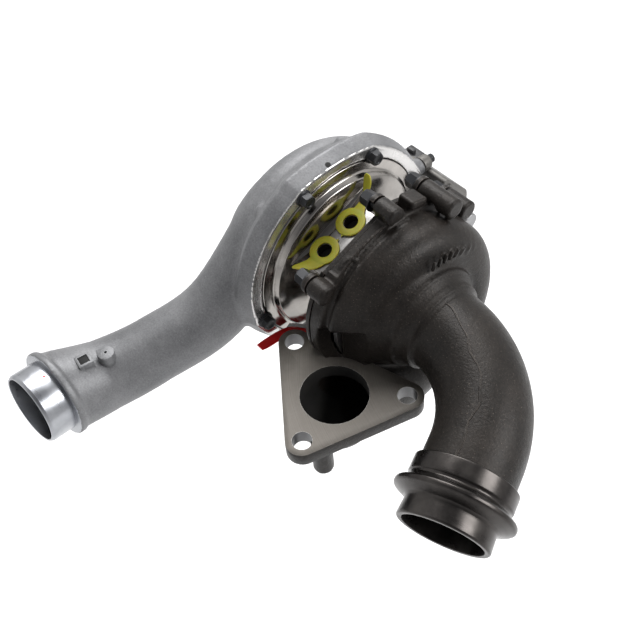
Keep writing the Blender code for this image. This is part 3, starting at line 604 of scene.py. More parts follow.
def lathe_cut(name, dark, light, rough, lines=2600.0, depth=0.000012, metallic=1.0):
    """Turned metal, with fine grooves that run round the piece."""
    look = Look(name, metallic=metallic, anisotropic=0.35)
    turn_map = look.node("ShaderNodeUVMap", uv_map="turn").outputs[0]
    groove = look.noise(1.0, 3.0, 0.6, turn_map, (25.0, lines, 1.0))
    broad = look.noise(1.0, 3.0, 0.5, turn_map, (12.0, lines * 0.12, 1.0))
    smear = look.noise(70.0, 4.0, 0.6)
    colour = look.mix(look.between(smear, 0.3, 0.7), dark, light)
    colour = look.mix(look.math("MULTIPLY", look.edges(0.0004), 0.5), colour, (0.9, 0.9, 0.9))
    roughness = look.between(look.math("ADD", broad, smear), 0.7, 1.3, rough - 0.05, rough + 0.07)
    return look.finish(colour, roughness, look.bump(groove, 0.5, depth))


def plain(name, dark, light, metallic, rough, grain=500.0, depth=0.00003, worn=None, **sockets):
    """Moulded, pressed or ground stock: fine texture, uneven gloss and rubbed edges."""
    look = Look(name, metallic=metallic, **sockets)
    fine = look.noise(grain, 3.0, 0.6)
    blotch = look.noise(55.0, 4.0, 0.6)
    colour = look.mix(look.between(blotch, 0.3, 0.7), dark, light)
    if worn:
        colour = look.mix(look.math("MULTIPLY", look.edges(0.0005), 0.6), colour, worn)
    return look.finish(colour, look.between(blotch, 0.3, 0.7, rough - 0.05, rough + 0.08),
                       look.bump(fine, 0.5, depth))


def milled(name, dark, light, rough, centre, metallic=0.9):
    """A face milled by a broad cutter: arcs about a far centre, with stains."""
    look = Look(name, metallic=metallic)
    shift = look.node("ShaderNodeVectorMath", {0: look.place, 1: centre}, operation="SUBTRACT")
    reach = look.node("ShaderNodeVectorMath", {0: shift.outputs[0]}, operation="LENGTH")
    ring = look.node("ShaderNodeCombineXYZ", {"X": reach.outputs["Value"]}).outputs[0]
    groove = look.noise(1700.0, 2.0, 0.5, ring)
    broad = look.noise(260.0, 2.0, 0.5, ring)
    stain = look.noise(42.0, 5.0, 0.65)
    tone = look.math("ADD", look.math("MULTIPLY", groove, 0.35), look.math("MULTIPLY", stain, 0.65))
    colour = look.mix(look.between(tone, 0.34, 0.66), dark, light)
    colour = look.mix(look.math("MULTIPLY", look.edges(0.0004), 0.6), colour, (0.75, 0.73, 0.7))
    normal = look.bump(broad, 0.25, 0.00005, look.bump(groove, 0.6, 0.00002))
    return look.finish(colour, look.between(stain, 0.3, 0.7, rough - 0.07, rough + 0.1), normal)


CAST_ALUMINIUM = cast("look_cast_aluminium", (0.125, 0.127, 0.132), (0.235, 0.236, 0.242), 0.5, 0.5,
                      900.0, 0.00014, (0.4, 0.4, 0.41))
CAST_IRON = cast("look_cast_iron", (0.007, 0.0058, 0.005), (0.024, 0.0198, 0.0168), 0.3, 0.42,
                 850.0, 0.0003, (0.19, 0.157, 0.132), 0.4, specular_ior_level=0.3)
ACTUATOR_CAST = cast("look_actuator_casting", (0.10, 0.096, 0.09), (0.17, 0.162, 0.152), 0.6, 0.5,
                     1100.0, 0.0001, (0.34, 0.33, 0.31))
MILLED_IRON = milled("look_milled_iron", (0.075, 0.067, 0.058), (0.155, 0.141, 0.124), 0.5,
                     (0.05, 0.09, 0.0), 0.45)
TURNED_ALUMINIUM = lathe_cut("look_turned_aluminium", (0.3, 0.31, 0.335), (0.43, 0.44, 0.46), 0.3)
TURNED_IRON = lathe_cut("look_turned_iron", (0.27, 0.255, 0.24), (0.4, 0.378, 0.355), 0.17, 2600.0,
                        0.000006)
SATIN_IRON = lathe_cut("look_satin_iron", (0.035, 0.032, 0.031), (0.075, 0.069, 0.065), 0.3, 1900.0)
MACHINED_FACE = milled("look_machined_face", (0.5, 0.49, 0.48), (0.66, 0.65, 0.64), 0.22,
                       (-0.0684, 0.0682, 0.02))
PAD_FACE = milled("look_pad_face", (0.22, 0.213, 0.206), (0.34, 0.332, 0.325), 0.34,
                  (0.1, 0.0682, 0.02))
DRILLED_IRON = plain("look_drilled_iron", (0.1, 0.1, 0.102), (0.19, 0.19, 0.193), 0.8, 0.38, 1100.0,
                     0.00003, (0.45, 0.45, 0.45))
STEEL = plain("look_steel", (0.2, 0.2, 0.205), (0.33, 0.33, 0.335), 1.0, 0.34, 900.0, 0.00002,
              (0.75, 0.75, 0.75))
BLACK_STEEL = plain("look_black_bolt", (0.012, 0.0125, 0.014), (0.028, 0.029, 0.032), 0.6, 0.36,
                    1500.0, 0.00003, (0.2, 0.2, 0.21))
BRONZE = plain("look_bronze", (0.4, 0.24, 0.1), (0.6, 0.38, 0.17), 1.0, 0.32, 900.0, 0.00002,
               (0.8, 0.6, 0.35))
WHEEL = plain("look_wheel_aluminium", (0.55, 0.55, 0.57), (0.7, 0.7, 0.72), 1.0, 0.25, 1200.0,
              0.00002, (0.85, 0.85, 0.86))
RUBBER = plain("look_rubber", (0.012, 0.012, 0.012), (0.025, 0.025, 0.025), 0.0, 0.62)
YELLOW = plain("look_yellow_seal", (0.29, 0.275, 0.012), (0.4, 0.375, 0.02), 0.0, 0.42, 700.0,
               0.00002, subsurface_weight=0.25, subsurface_scale=0.002)
RED = plain("look_red_seal", (0.6, 0.006, 0.008), (0.78, 0.012, 0.014), 0.0, 0.42, 700.0, 0.00002,
            subsurface_weight=0.15, subsurface_scale=0.002)
PLASTIC = plain("look_black_plastic", (0.012, 0.012, 0.013), (0.02, 0.02, 0.022), 0.0, 0.45, 1400.0,
                0.00004, (0.06, 0.06, 0.06))
# Near-black, for painted shade in a hole and in a recess.
HOLE_SHADE = plain("look_painted_hole_shade", (0.004, 0.004, 0.004), (0.008, 0.008, 0.008), 0.2, 0.7)
# Near-black, for painted shade deep inside the ports.
PORT_SHADE = plain("look_painted_port_shade", (0.006, 0.006, 0.006), (0.02, 0.018, 0.016), 0.1, 0.75, 600.0,
             0.0002)
SLOT_LOOKS = {
    "turned_iron": TURNED_IRON, "steel": STEEL, "bronze": BRONZE, "rubber": RUBBER,
    "wheel_aluminium": WHEEL, "black_bolt": BLACK_STEEL, "dark_cast_iron": CAST_IRON,
    "cast_aluminium": CAST_ALUMINIUM, "yellow_seal": YELLOW, "red_seal": RED,
    "black_plastic": PLASTIC, "actuator_casting": ACTUATOR_CAST,
}


def paint_faces(obj, mats, choose):
    """Gives each face one of several materials: choose(centres, normals) returns their numbers."""
    obj.data.materials.clear()
    for mat in mats:
        obj.data.materials.append(mat)
    count = len(obj.data.polygons)
    centres, normals = np.zeros(count * 3), np.zeros(count * 3)
    obj.data.polygons.foreach_get("center", centres)
    obj.data.polygons.foreach_get("normal", normals)
    centres = centres.reshape(-1, 3) / MM - SHAFT_AT
    chosen = choose(centres, normals.reshape(-1, 3)).astype(int)
    obj.data.polygons.foreach_set("material_index", chosen)
    obj.data.update()
    return obj


# ---- compressor cover ----


def volute_section(turned_by):
    hollow = 5.5 + 12.0 * turned_by / 360
    return -9.6 - 0.8 * hollow, hollow


def land(angle):
    """The ring's outer edge runs nearly straight from bolt to bolt."""
    corners = np.array([*COVER_BOLT_ANGLES, COVER_BOLT_ANGLES[0] + 360])
    angle = (angle - corners[0]) % 360 + corners[0]
    k = np.clip(np.searchsorted(corners, angle) - 1, 0, 5)
    low, high = corners[k], corners[k + 1]
    part = abs(2 * (angle - low) / (high - low) - 1)
    return np.where(high - low < 60, 2.2 * part**2 - 1.5, np.clip(9 * part - 8.2, -0.2, 0.7))


def make_cover():
    grid = Casting((-92, -212, -78), (4, 82, 78))
    grid.add(spun(
        ((0, 20), (0, 71.5), (-1.5, 72.3), (-10, 75.2), (-12.5, 73.8), (-18, 68), (-22, 48),
         (-33, 31), (-42, 25.5), (-50, 25.5), (-51, 27), (-54, 27), (-54, 20)), land))
    turns = [350 * i / 60 for i in range(61)]
    route = [around(140 - 350 + t, 47.0, volute_section(t)[0]) for t in turns]
    radii = [volute_section(t)[1] for t in turns]
    grid.add(pipe(route, [r + 3.5 for r in radii]), 5.0)
    leaving = radii[-1] + 3.5
    x = volute_section(350)[0]
    first = (around(124, 47.0, x), around(140, 47.0, x), *TUBE_ROUTE)
    tube_route = smooth(first, 8)
    tube_radii = spread((leaving - 4, leaving - 0.5, *TUBE_RADII), 8)
    shoulder = TUBE_END - 17 * TUBE_OUT
    grid.add(pipe(tube_route, tube_radii), 4.0)
    grid.add(peg(shoulder - 4.4 * TUBE_OUT, shoulder + 0.4 * TUBE_OUT, 28.6, 1.2), 3.0)
    for x, z in ACTUATOR_FEET:
        grid.add(peg((x, 30, z), (x, 78.6, z), 5.6), 4.0)
        grid.add(chunk((3.5, 30, 9), (x, 62, z), 0, 1.2), 3.0)
    for t in (20, 75, 130, 205, 255, 310):
        grid.add(chunk((14, 6, 4), around(t, 68, -12), t, 1.5), 4.0)
    grid.cut(pipe(route, radii))
    grid.cut(pipe(tube_route, [r - 3.5 for r in tube_radii]))
    grid.cut(beyond(shoulder, TUBE_OUT, 34))
    grid.cut(peg(shoulder - 12 * TUBE_OUT, shoulder + 4 * TUBE_OUT, 21.3, 0.1))
    grid.cut(spun(((3, 0), (3, 63.3), (-9.5, 63.3), (-9.8, 46), (-15.6, 45), (-15.6, 30),
                   (-16.4, 26.8), (-19, 23.4), (-26, 20.4), (-36, 19.6), (-44, 20.0),
                   (-57, 22.5), (-57, 0))))
    casting = grid.skin("cover_casting")
    paint_faces(
        casting, (CAST_ALUMINIUM, MACHINED_FACE),
        lambda at, n: ((at[:, 0] > -0.5) & (n[:, 0] > 0.8))
        | ((at[:, 0] < -14) & (np.hypot(at[:, 1], at[:, 2]) < 24.5) & (at[:, 0] > -60))
        | ((at[:, 1] > 77.5) & (n[:, 1] > 0.8)),
    )
    settle(casting, "cast_aluminium", "compressor_cover")
    spigot = turned(
        "discharge_spigot",
        ((0, 21.5), (0, 22.5), (-1.7, 23.5), (-16.5, 23.5), (-16.9, 23.2), (-16.9, 28.2),
         (-17.8, 28.4), (-17.8, 21.4)),
        TUBE_END, TUBE_OUT, 128, 0.25,
    )
    settle(paint(spigot, TURNED_ALUMINIUM), "cast_aluminium")
    face = turned(
        "inlet_face", ((-54.2, 22.4), (-54.2, 26.4), (-53.6, 26.9), (-52.5, 26.9), (-52.5, 22.4)),
        steps=128, ease=0.2)
    settle(paint(face, TURNED_ALUMINIUM), "cast_aluminium")
    make_tube_marks()
    # A near-black plug in the vent: painted shade inside the hole.
    hole = turned("cover_vent_shade", ((0.12, 0.05), (0.12, 1.75), (-1.5, 1.75), (-1.5, 0.05)),
                  around(93.4, 71.1, -2.4), (0.33, -0.06, 0.94), 32, 0.05)
    settle(paint(hole, HOLE_SHADE), "cast_aluminium")
    for i, angle in enumerate(COVER_BOLT_ANGLES):
        at = around(angle, 66.0, 0.3)
        screw = bolt(f"cover_screw_{i + 1}", at, X, 5.3, 4.5, 5.6, 2.1, 8.0, 7 * i)
        settle(screw, "black_bolt", f"compressor_bolt_{i + 1}")


def make_tube_marks():
    """The raised square pad, with a near-black plate in its recess as painted shade, the drilled
    boss on the discharge tube, and a dab of paint.
    """
    top = -15.5
    yaw = -8.4
    at = Vector((-52.4, -163.2, top))
    pad = brick("tube_pad", (9.4, 9.4, 9), at - Z * 4.5, bevel=0.5, yaw=yaw)
    carve(pad, [brick("pad_recess", (6.2, 6.2, 1.4), at, bevel=0, yaw=yaw)])
    settle(pad, "cast_aluminium")
    # A near-black plate on the recess floor: painted shade in the recess.
    recess_shade = brick("pad_recess_shade", (6.0, 6.0, 0.5), at - Z * 0.75, bevel=0.05, yaw=yaw)
    settle(paint(recess_shade, HOLE_SHADE), "cast_aluminium")
    outline = [*arc((0, 0), 5.2, -70, 160, 24), (-5.2, -4.2), (-1.0, -5.4)]
    boss = slab("tube_boss", eased(outline, 0.6), -9.5, 0, Z, bevel=0.5)
    turn(boss, (-47.4, -150.6, top + 0.2), 0, yaw)
    carve(boss, [turned("boss_hole", ((1, 0.02), (1, 0.95), (-3, 0.95), (-3, 0.02)),
                        (-47.6, -150.4, top), Z, 24, 0)])
    settle(boss, "cast_aluminium")
    dot = turned("paint_dab", ((0.1, 0.02), (0.1, 0.7), (-0.3, 0.9), (-0.3, 0.02)),
                 (-57.0, -187.6, -14.15), (0.13, 0.1, 0.98), 24, 0.1)
    settle(dot, "red_seal")


def bolt(name, at, toward, flange, hexagon, head, shank, long, roll=0.0):
    """A hexagon flange bolt with a chamfered, slightly dished head."""
    at, w = Vector(at), Vector(toward).normalized()
    u = w.orthogonal().normalized()
    v = w.cross(u)
    sides, per_side = 6, 8
    count = sides * per_side
    levels = [(1.1, 1.0), (head - 1.2, 1.0), (head - 0.8, 0.985), (head - 0.35, 0.93), (head, 0.84),
              (head, 0.6), (head - 0.35, 0.5), (head - 0.5, 0.05)]
    co = []
    for h, limit in levels:
        for k in range(count):
            a = 2 * math.pi * k / count
            flat = hexagon * math.cos(math.pi / 6) / math.cos((a % (math.pi / 3)) - math.pi / 6)
            r = min(flat, hexagon * limit)
            a += math.radians(roll)
            co.append(at + w * h + r * (math.cos(a) * u + math.sin(a) * v))
    top = build(name + "_head", co, bands(len(levels), count), 25)
    base = turned(
        name,
        ((1.5, 0.1), (1.5, flange - 1.5), (0.9, flange - 0.2), (0.0, flange), (0.0, shank),
         (-long, shank), (-long, 0.1)), at, w, 48, 0.25)
    return merge(name, base, top)


# ---- bearing housing and its seals ----


def pad_brick(name, size, distance, x, bevel=0.0):
    long, wide, high = size
    at = PAD_OUT * (distance + high / 2) - PAD_ALONG * 2 + X * x
    return brick(name, (long, wide, abs(high)), at, tip=22.0, bevel=bevel)


def bar(name, radius, low, high, at=(0, 0, 0), toward=X, steps=48, ease=0.0):
    profile = ((high, 0.02), (high, radius), (low, radius), (low, 0.02))
    return turned(name, profile, at, toward, steps, ease)


def make_bearing_housing():
    case = turned(
        "bearing_case",
        ((39, 33), (38, 34), (38, 50.1), (36, 50.1), (36, 58), (33, 58), (33, 43), (31, 40),
         (29, 38), (25, 36), (14, 36), (11.5, 38.5), (9, 44), (7.6, 47.2), (6.5, 50), (4.5, 54.5),
         (3, 55.3),
         (1.2, 55.8), (0.3, 57.2), (0.15, 62.6), (-0.4, 63), (-4, 63), (-4, 61.0), (-7.2, 61.0),
         (-7.2, 63), (-9.2, 63), (-9.2, 23.3), (-5.0, 23.3), (-5.0, 17.0), (3.4, 17.0), (3.4, 7.35),
         (31.6, 7.35), (31.6, 7.9), (39, 7.9)), steps=160, ease=0.4,
    )
    bolts = [around(angle, TURBINE_BOLT_R) for angle, _ in TURBINE_BOLTS]
    carve(case, [bar("ear", EAR_R, 33.2, 35.8, at) for at in bolts], "UNION")
    carve(case, [bar("hole", 3.3, 30, 40, at) for at in bolts])
    carve(case, [
        pad_brick("rim_flat", (24, 46, 30), 50.6, 38),
        brick("flange_notch", (6.0, 20.4, 14), (33.3, -56, -25), bevel=0),
        pad_brick("dish_mill", (6.0, 74, 40), PAD_D, 9.5),
    ])
    carve(case, [
        pad_brick("port_pad", (18.0, 47, -9), PAD_D, 21.0, 0.5),
        brick("drain_boss", (22, 44, 20), (20, 0, -33), bevel=1.0),
        bar("crank_boss", 6.5, 27, 34, (0, *CRANK_AT)),
    ], "UNION")
    carve(case, [
        bar("drain_hole", 6.5, -60, -12, (19, 0, 0), Z),
        brick("oil_room", (20, 24, 20), (19, 0, -8), bevel=0),
        bar("crank_bore", 4.3, 26, 40, (0, *CRANK_AT)),
    ])
    carve(case, [bar(f"port_bore_{s}", 4.5, -9, 2, port_centre(s), PAD_OUT) for s in (1, -1)],
          solver="EXACT")
    out = np.array(PAD_OUT)
    paint_faces(
        case, (TURNED_IRON, PAD_FACE, CAST_IRON, PORT_SHADE),
        lambda at, n: np.where(
            (n @ out > 0.95) & (abs(at @ out - PAD_D) < 0.3), 1,
            np.where((at[:, 0] > 33.1) | (at[:, 2] < -36), 2, 0),
        ),
    )
    settle(case, "turned_iron", "bearing_housing")


def port_centre(side):
    return PAD_OUT * PAD_D - PAD_ALONG * 1.7 + X * 17.0 + PAD_ALONG * 11.3 * side


def make_port_seals():
    """Soft peel-off rings on the ports, each with a bent pull tab and a moulding whisker."""
    tabs = (
        (1, ((6.0, 0.0, 0.7), (10, -1.2, 0.8), (13.5, -2.6, 1.2), (18, -4.2, 2.8),
             (22.5, -6.0, 5.6), (27.0, -8.0, 9.0)), (10, 7, 4.6, 4.2, 6.0, 6.6)),
        (-1, ((-6.0, 1.4, 0.7), (-10, 0.6, 0.8), (-13.5, -1.4, 1.0), (-16.5, -3.6, 1.8),
              (-20.0, -6.4, 3.5)), (11, 9.5, 8.5, 6.5, 2.2)),
    )
    for side, tab, widths in tabs:
        number = 1 if side > 0 else 2
        centre = port_centre(side)
        ring = turned("ring", ((1.3, 9.2), (0, 9.2), (0, 4.7), (1.3, 4.7)), centre + PAD_OUT * 0.3,
                      PAD_OUT, 72, 0.5)
        points = [centre + PAD_ALONG * a + X * b + PAD_OUT * (0.3 + c) for a, b, c in tab]
        points = smooth(points, 5)
        wide = spread(widths, 5)
        wide[-1], wide[-2], wide[-3] = wide[-1] * 0.45, wide[-2] * 0.8, wide[-3] * 0.93
        strip = swept("strip", points, wide, 1.1, X, 16)
        points = [centre - PAD_ALONG * side * a + X * b + PAD_OUT * 0.9
                  for a, b in ((8.6, 1.5), (9.6, 1.8), (10.4, 2.1))]
        whisker = swept("whisker", points, (2.4, 1.1, 0.3), 0.5, X, 8)
        seal = merge(f"port_ring_{number}", ring, strip, whisker)
        settle(seal, "yellow_seal", f"port_seal_{number}")
        # A near-black disc down each port's bore: painted shade inside the port.
        floor = bar(f"port_shade_disc_{number}", 4.4, -8.5, -6, port_centre(side), PAD_OUT)
        settle(paint(floor, PORT_SHADE), "turned_iron")


def make_drain_seal():
    high = -43.3
    disc = turned("disc", ((high, 0.1), (high, 8.8), (high - 1.2, 8.8), (high - 1.2, 0.1)),
                  (19, 0, 0), Z, 64)
    knots = ((18, -5, high - 0.6), (13, -32, high - 0.6), (5.5, -50, -34), (4.3, -74, -31))
    points = smooth(knots, 8)
    wide = [7.0] * len(points)
    wide[-1], wide[-2] = 5.6, 6.7
    strip = swept("strip", points, wide, 1.0, X, 16)
    settle(merge("drain_tab", disc, strip), "red_seal", "drain_seal")


# ---- turbine housing ----

ELBOW_START, ELBOW_BEND = 88.6, 72.0
ELBOW_TURN, ELBOW_ROLL = math.radians(68.8), math.radians(13.8)
LATERAL = Vector((0, -math.cos(ELBOW_ROLL), -math.sin(ELBOW_ROLL)))
ELBOW_OUT = math.cos(ELBOW_TURN) * X + math.sin(ELBOW_TURN) * LATERAL
ELBOW_UP = X.cross(LATERAL) * -1


def elbow_point(a):
    return X * ELBOW_START + ELBOW_BEND * (math.sin(a) * X + (1 - math.cos(a)) * LATERAL)


VBAND_AT = elbow_point(ELBOW_TURN) + 28.7 * ELBOW_OUT


def scroll_route():
    points = [Vector((*PORT_AT, -18.0)), Vector((*PORT_AT, -34.0))]
    hollows = [PORT_R, PORT_R]
    for i in range(4, 61):
        t = 5 * i
        hollow = PORT_R - 13.5 * t / 300
        points.append(around(206 + t, 37.5 + 32.5 * math.exp(-t / 90), 51.5 + 0.72 * hollow))
        hollows.append(hollow)
    return points, hollows


def make_turbine_housing():
    grid = Casting((34, -104, -78), (190, 84, 82))
    grid.add(spun(
        ((88, 10), (88, 28.8), (84, 29.5), (80, 32.2), (78.6, 34.2), (76.4, 34.0), (72, 37),
         (66, 43), (60, 49), (52, 55.4), (50, 55.6), (48.5, 54.6), (47, 55.2), (46, 58),
         (36.3, 58), (36.3, 10))))
    points, hollows = scroll_route()
    outer = [Vector((*PORT_AT, -24.0)), *points[1:]]
    grid.add(pipe(outer, [h + 4.2 for h in hollows]), 4.0)
    grid.add(peg((*PORT_AT, -38), (*PORT_AT, -23), 25.5), 3.0)
    elbow = [X * (ELBOW_START - 9), *(elbow_point(ELBOW_TURN * i / 24) for i in range(25)),
             VBAND_AT - 9 * ELBOW_OUT]
    radii = [26.0] + [26.0 + i / 25 for i in range(26)]
    grid.add(pipe(elbow, radii), 5.0)
    grid.add(peg((84, -92.6, -53), (84, -92.6, -26), 6.2, 1.0), 2.0)
    grid.add(chunk((12, 14, 12), around(74, 59, 44), 74, 1.2), 2.0)
    for angle, end in TURBINE_BOLTS:
        ear = [around(angle, TURBINE_BOLT_R, x) for x in (36.6, end)]
        grid.add(peg(*ear, EAR_R, 1.0), 2.5)
        grid.add(chunk((7.4, 12, 9), around(angle, 56, 41.5), angle, 0.8), 2.5)
    grid.cut(chunk((12, 40, 30), PAD_OUT * 67.6 - PAD_ALONG * 2 + X * 40, 22, 0.3))
    add_cast_marks(grid)
    ring = [around(a, 58.4, 48.6) for a in range(-45, 226, 6)]
    grid.cut(pipe(ring, [2.2] * len(ring)), 1.5)
    grid.cut(beyond(VBAND_AT - 14 * ELBOW_OUT, ELBOW_OUT, 36))
    grid.cut(peg((*PORT_AT, -20.8), (*PORT_AT, 10), 27.0, 0.2))
    grid.cut(pipe(points, hollows))
    grid.cut(pipe([*elbow, VBAND_AT], [r - 4.3 for r in [*radii, 27.0]]))
    grid.cut(spun(((86, 0), (86, 21.0), (82.5, 21.2), (82.5, 25.6), (62.9, 25.6), (62.9, 36.4),
                   (51.4, 37.6), (51.4, 50.3), (33, 50.5), (33, 0))))
    for angle, end in TURBINE_BOLTS:
        hole = [around(angle, TURBINE_BOLT_R, x) for x in (30, end - 4)]
        grid.cut(peg(*hole, 3.3, 0.1))
    casting = grid.skin("turbine_casting")
    # Faces of the port's bore below the flange are painted near-black: painted shade inside the
    # port.
    paint_faces(
        casting, (CAST_IRON, PORT_SHADE),
        lambda at, n: (from_port(at) < 21.2) & (at[:, 2] < FLANGE_TOP - 0.5) & (at[:, 2] > -60),
    )
    settle(casting, "dark_cast_iron", "turbine_housing")
    make_flange()
    make_vband()
    make_seam()
    for i, (angle, end) in enumerate(TURBINE_BOLTS):
        at = around(angle, TURBINE_BOLT_R, 32.9)
        screw = bolt(f"turbine_screw_{i + 1}", at, -X, 6.0, 5.0, 8.0, 3.0, end - 41, 11 * i)
        settle(screw, "black_bolt", f"turbine_bolt_{i + 1}")


def add_cast_marks(grid):
    """Raised lines and lumps that the mould leaves: plain ticks, a curved lip and small lumps."""
    lip = smooth(((41.3, -35.1, 42.5), (40.4, -31.8, 43.9), (42.2, -28.4, 45.4),
                  (46.5, -28.6, 48.2), (50.3, -31.4, 46.6), (51.0, -36.2, 42.6),
                  (50.6, -41.6, 37.6)), 5)
    grid.add(pipe(lip, [0.9] * len(lip)), 1.0)
    for i in range(13):
        a = 86 - i * 6.8
        base = around(a, 38.5 + 14 * (i / 12) ** 1.5, 75.6 - 0.2 * i)
        top = around(a - 1.5, 43.0 + 12 * (i / 12) ** 1.5, 75.4 - 0.25 * i)
        grid.add(pipe((base, top), (1.15, 1.15)), 0.6)
    for at in ((79.0, -31.0, 8.5), (79.6, -31.2, 4.9), (79.0, -31.6, -4.2), (76.2, -28.8, -17.0)):
        grid.add(pipe((at, Vector(at) + Z * 1.5), (1.3, 1.0)), 1.5)
    grid.add(pipe([around(a, 57.6, 45.2) for a in range(-20, 205, 5)], [0.8] * 45), 1.0)


def make_flange():
    port = Vector((*PORT_AT, 0))
    bottom = FLANGE_TOP - FLANGE_THICK
    outline = hull_of_circles([FLANGE_HOLES[i] for i in (0, 2, 1)], FLANGE_CORNER_R, 16)
    flange = slab("inlet_flange", outline, bottom, FLANGE_TOP, Z, port, 0.35, 2)
    tools = [bar("port", PORT_R, -40, -15, port, Z, 96)]
    tools += [bar("hole", FLANGE_HOLE_R, -40, -15, port + Vector((x, y, 0)), Z, 64)
              for x, y in FLANGE_HOLES]
    carve(flange, tools)
    # Faces of the port's bore get index 3 and are painted near-black: painted shade inside the
    # port.
    paint_faces(
        flange, (CAST_IRON, MILLED_IRON, DRILLED_IRON, PORT_SHADE),
        lambda at, n: np.where(
            n[:, 2] > 0.5, 1,
            np.where(from_port(at) < 20.8, 3, np.where(near_hole(at), 2, 0))),
    )
    settle(flange, "dark_cast_iron")
    a, b = Vector(FLANGE_HOLES[0]), Vector(FLANGE_HOLES[1])
    run = (b - a).normalized()
    side = Vector((-run.y, run.x))
    edge = [a + run * 6 + side * 8.5, a + run * 47 + side * 8.5, a + run * 47 + side * 13.0,
            a + run * 10 + side * 14.2]
    ledge = slab("flange_ledge", [tuple(p) for p in edge], bottom, -22.4, Z, port, 0.4, 2)
    settle(paint(ledge, MILLED_IRON), "dark_cast_iron")


def from_port(at, x=0.0, y=0.0):
    """How far points lie from the port's axis, or from one beside it."""
    return np.hypot(at[:, 0] - PORT_AT[0] - x, at[:, 1] - PORT_AT[1] - y)


def near_hole(at):
    return np.any([from_port(at, *hole) < FLANGE_HOLE_R + 0.2 for hole in FLANGE_HOLES], 0)


def make_vband():
    band = turned(
        "vband_collar",
        ((17, 23.3), (17, 25.8), (16.2, 26.5), (8, 26.0), (6.2, 26.1), (4.9, 27.0), (1.7, 33.8),
         (0.9, 34.5), (-0.9, 34.5), (-1.8, 33.8), (-4.3, 29.6), (-5.5, 28.9), (-6.8, 29.1),
         (-7.6, 29.8), (-17.0, 29.8), (-17.4, 29.4), (-17.4, 23.3)),
        VBAND_AT, ELBOW_OUT, 160, 0.5,
    )
    settle(paint(band, SATIN_IRON), "dark_cast_iron")


def make_seam():
    """The wavy flash line along the top of the elbow, which runs on to the collar."""
    rng = np.random.default_rng(7)
    points, wide = [], []
    for i in range(46):
        part = i / 45
        a = ELBOW_TURN * min(part * 1.17, 1.0)
        centre = elbow_point(a)
        along = math.cos(a) * X + math.sin(a) * LATERAL
        if part * 1.17 > 1:
            centre = centre + along * (part * 1.17 - 1) * ELBOW_TURN * ELBOW_BEND
        side = ELBOW_UP.cross(along)
        sway = 1.3 * math.sin(part * 13 + 0.6) + 0.7 * math.sin(part * 31) + rng.normal(0, 0.16)
        lean = (sway + 3.5 - 7.0 * part) / 26.5
        r = 26.05 + 0.9 * part
        points.append(centre + r * (math.cos(lean) * ELBOW_UP + math.sin(lean) * side))
        wide.append(1.5 + 0.5 * math.sin(part * 23) + rng.normal(0, 0.1))
    seam = swept("elbow_seam", points, wide, 1.1, ELBOW_UP.cross(ELBOW_OUT), 12)
    settle(seam, "dark_cast_iron")


# ---- wheels ----


def quarter(start, finish, t):
    a = t * math.pi / 2
    x = start[0] + (finish[0] - start[0]) * math.sin(a)
    return x, finish[1] - (finish[1] - start[1]) * math.cos(a)


def blades(name, hub, shroud, count, wrap, thick, first=0.0, start=0.0, rows=14):
    co, faces = [], []
    for number in range(count):
        base = len(co)
        corners = (-1, hub, 1.2), (-1, shroud, 0), (1, shroud, 0), (1, hub, 1.2)
        for i in range(rows + 1):
            t = start + (1 - start) * i / rows
            sweep = math.radians(wrap) * (1 - t) ** 1.6 + 2 * math.pi * (number + first) / count
            for side, line, inset in corners:
                x, r = quarter(*line, t)
                r -= inset
                width = thick * (1.0 if line is hub else 0.5)
                lean = 0.10 * (1 - t) if line is shroud else 0.0
                co.append(around(math.degrees(sweep + lean + side * width / 2 / max(r, 1)), r, x))
        faces += bands(rows + 1, 4, base)
    return build(name, co, faces, 35)


def make_compressor_wheel():
    hub, shroud = ((-39.0, 6.5), (-11.6, 25.8)), ((-37.0, 18.6), (-15.8, 25.9))
    line = [quarter(*hub, i / 16) for i in range(17)]
    body = turned(
        "wheel_hub", ((-10.4, 3.15), (-10.4, 26), *reversed(line), (-40.5, 5.5), (-40.5, 3.15)),
        steps=96, ease=0.15)
    full = blades("wheel_blades", hub, shroud, 6, 55, 1.0)
    short = blades("wheel_splitters", hub, shroud, 6, 55, 1.0, 0.5, 0.22)
    wheel = merge("front_wheel", body, full, short)
    settle(wheel, "wheel_aluminium", "compressor_wheel", body="rotor")
    nut = bolt("wheel_nut", (-40.8, 0, 0), -X, 5.3, 5.3, 3.4, 3.2, 0.3)
    settle(nut, "steel", "lock_nut", body="rotor")


# ---- linkage and actuator ----


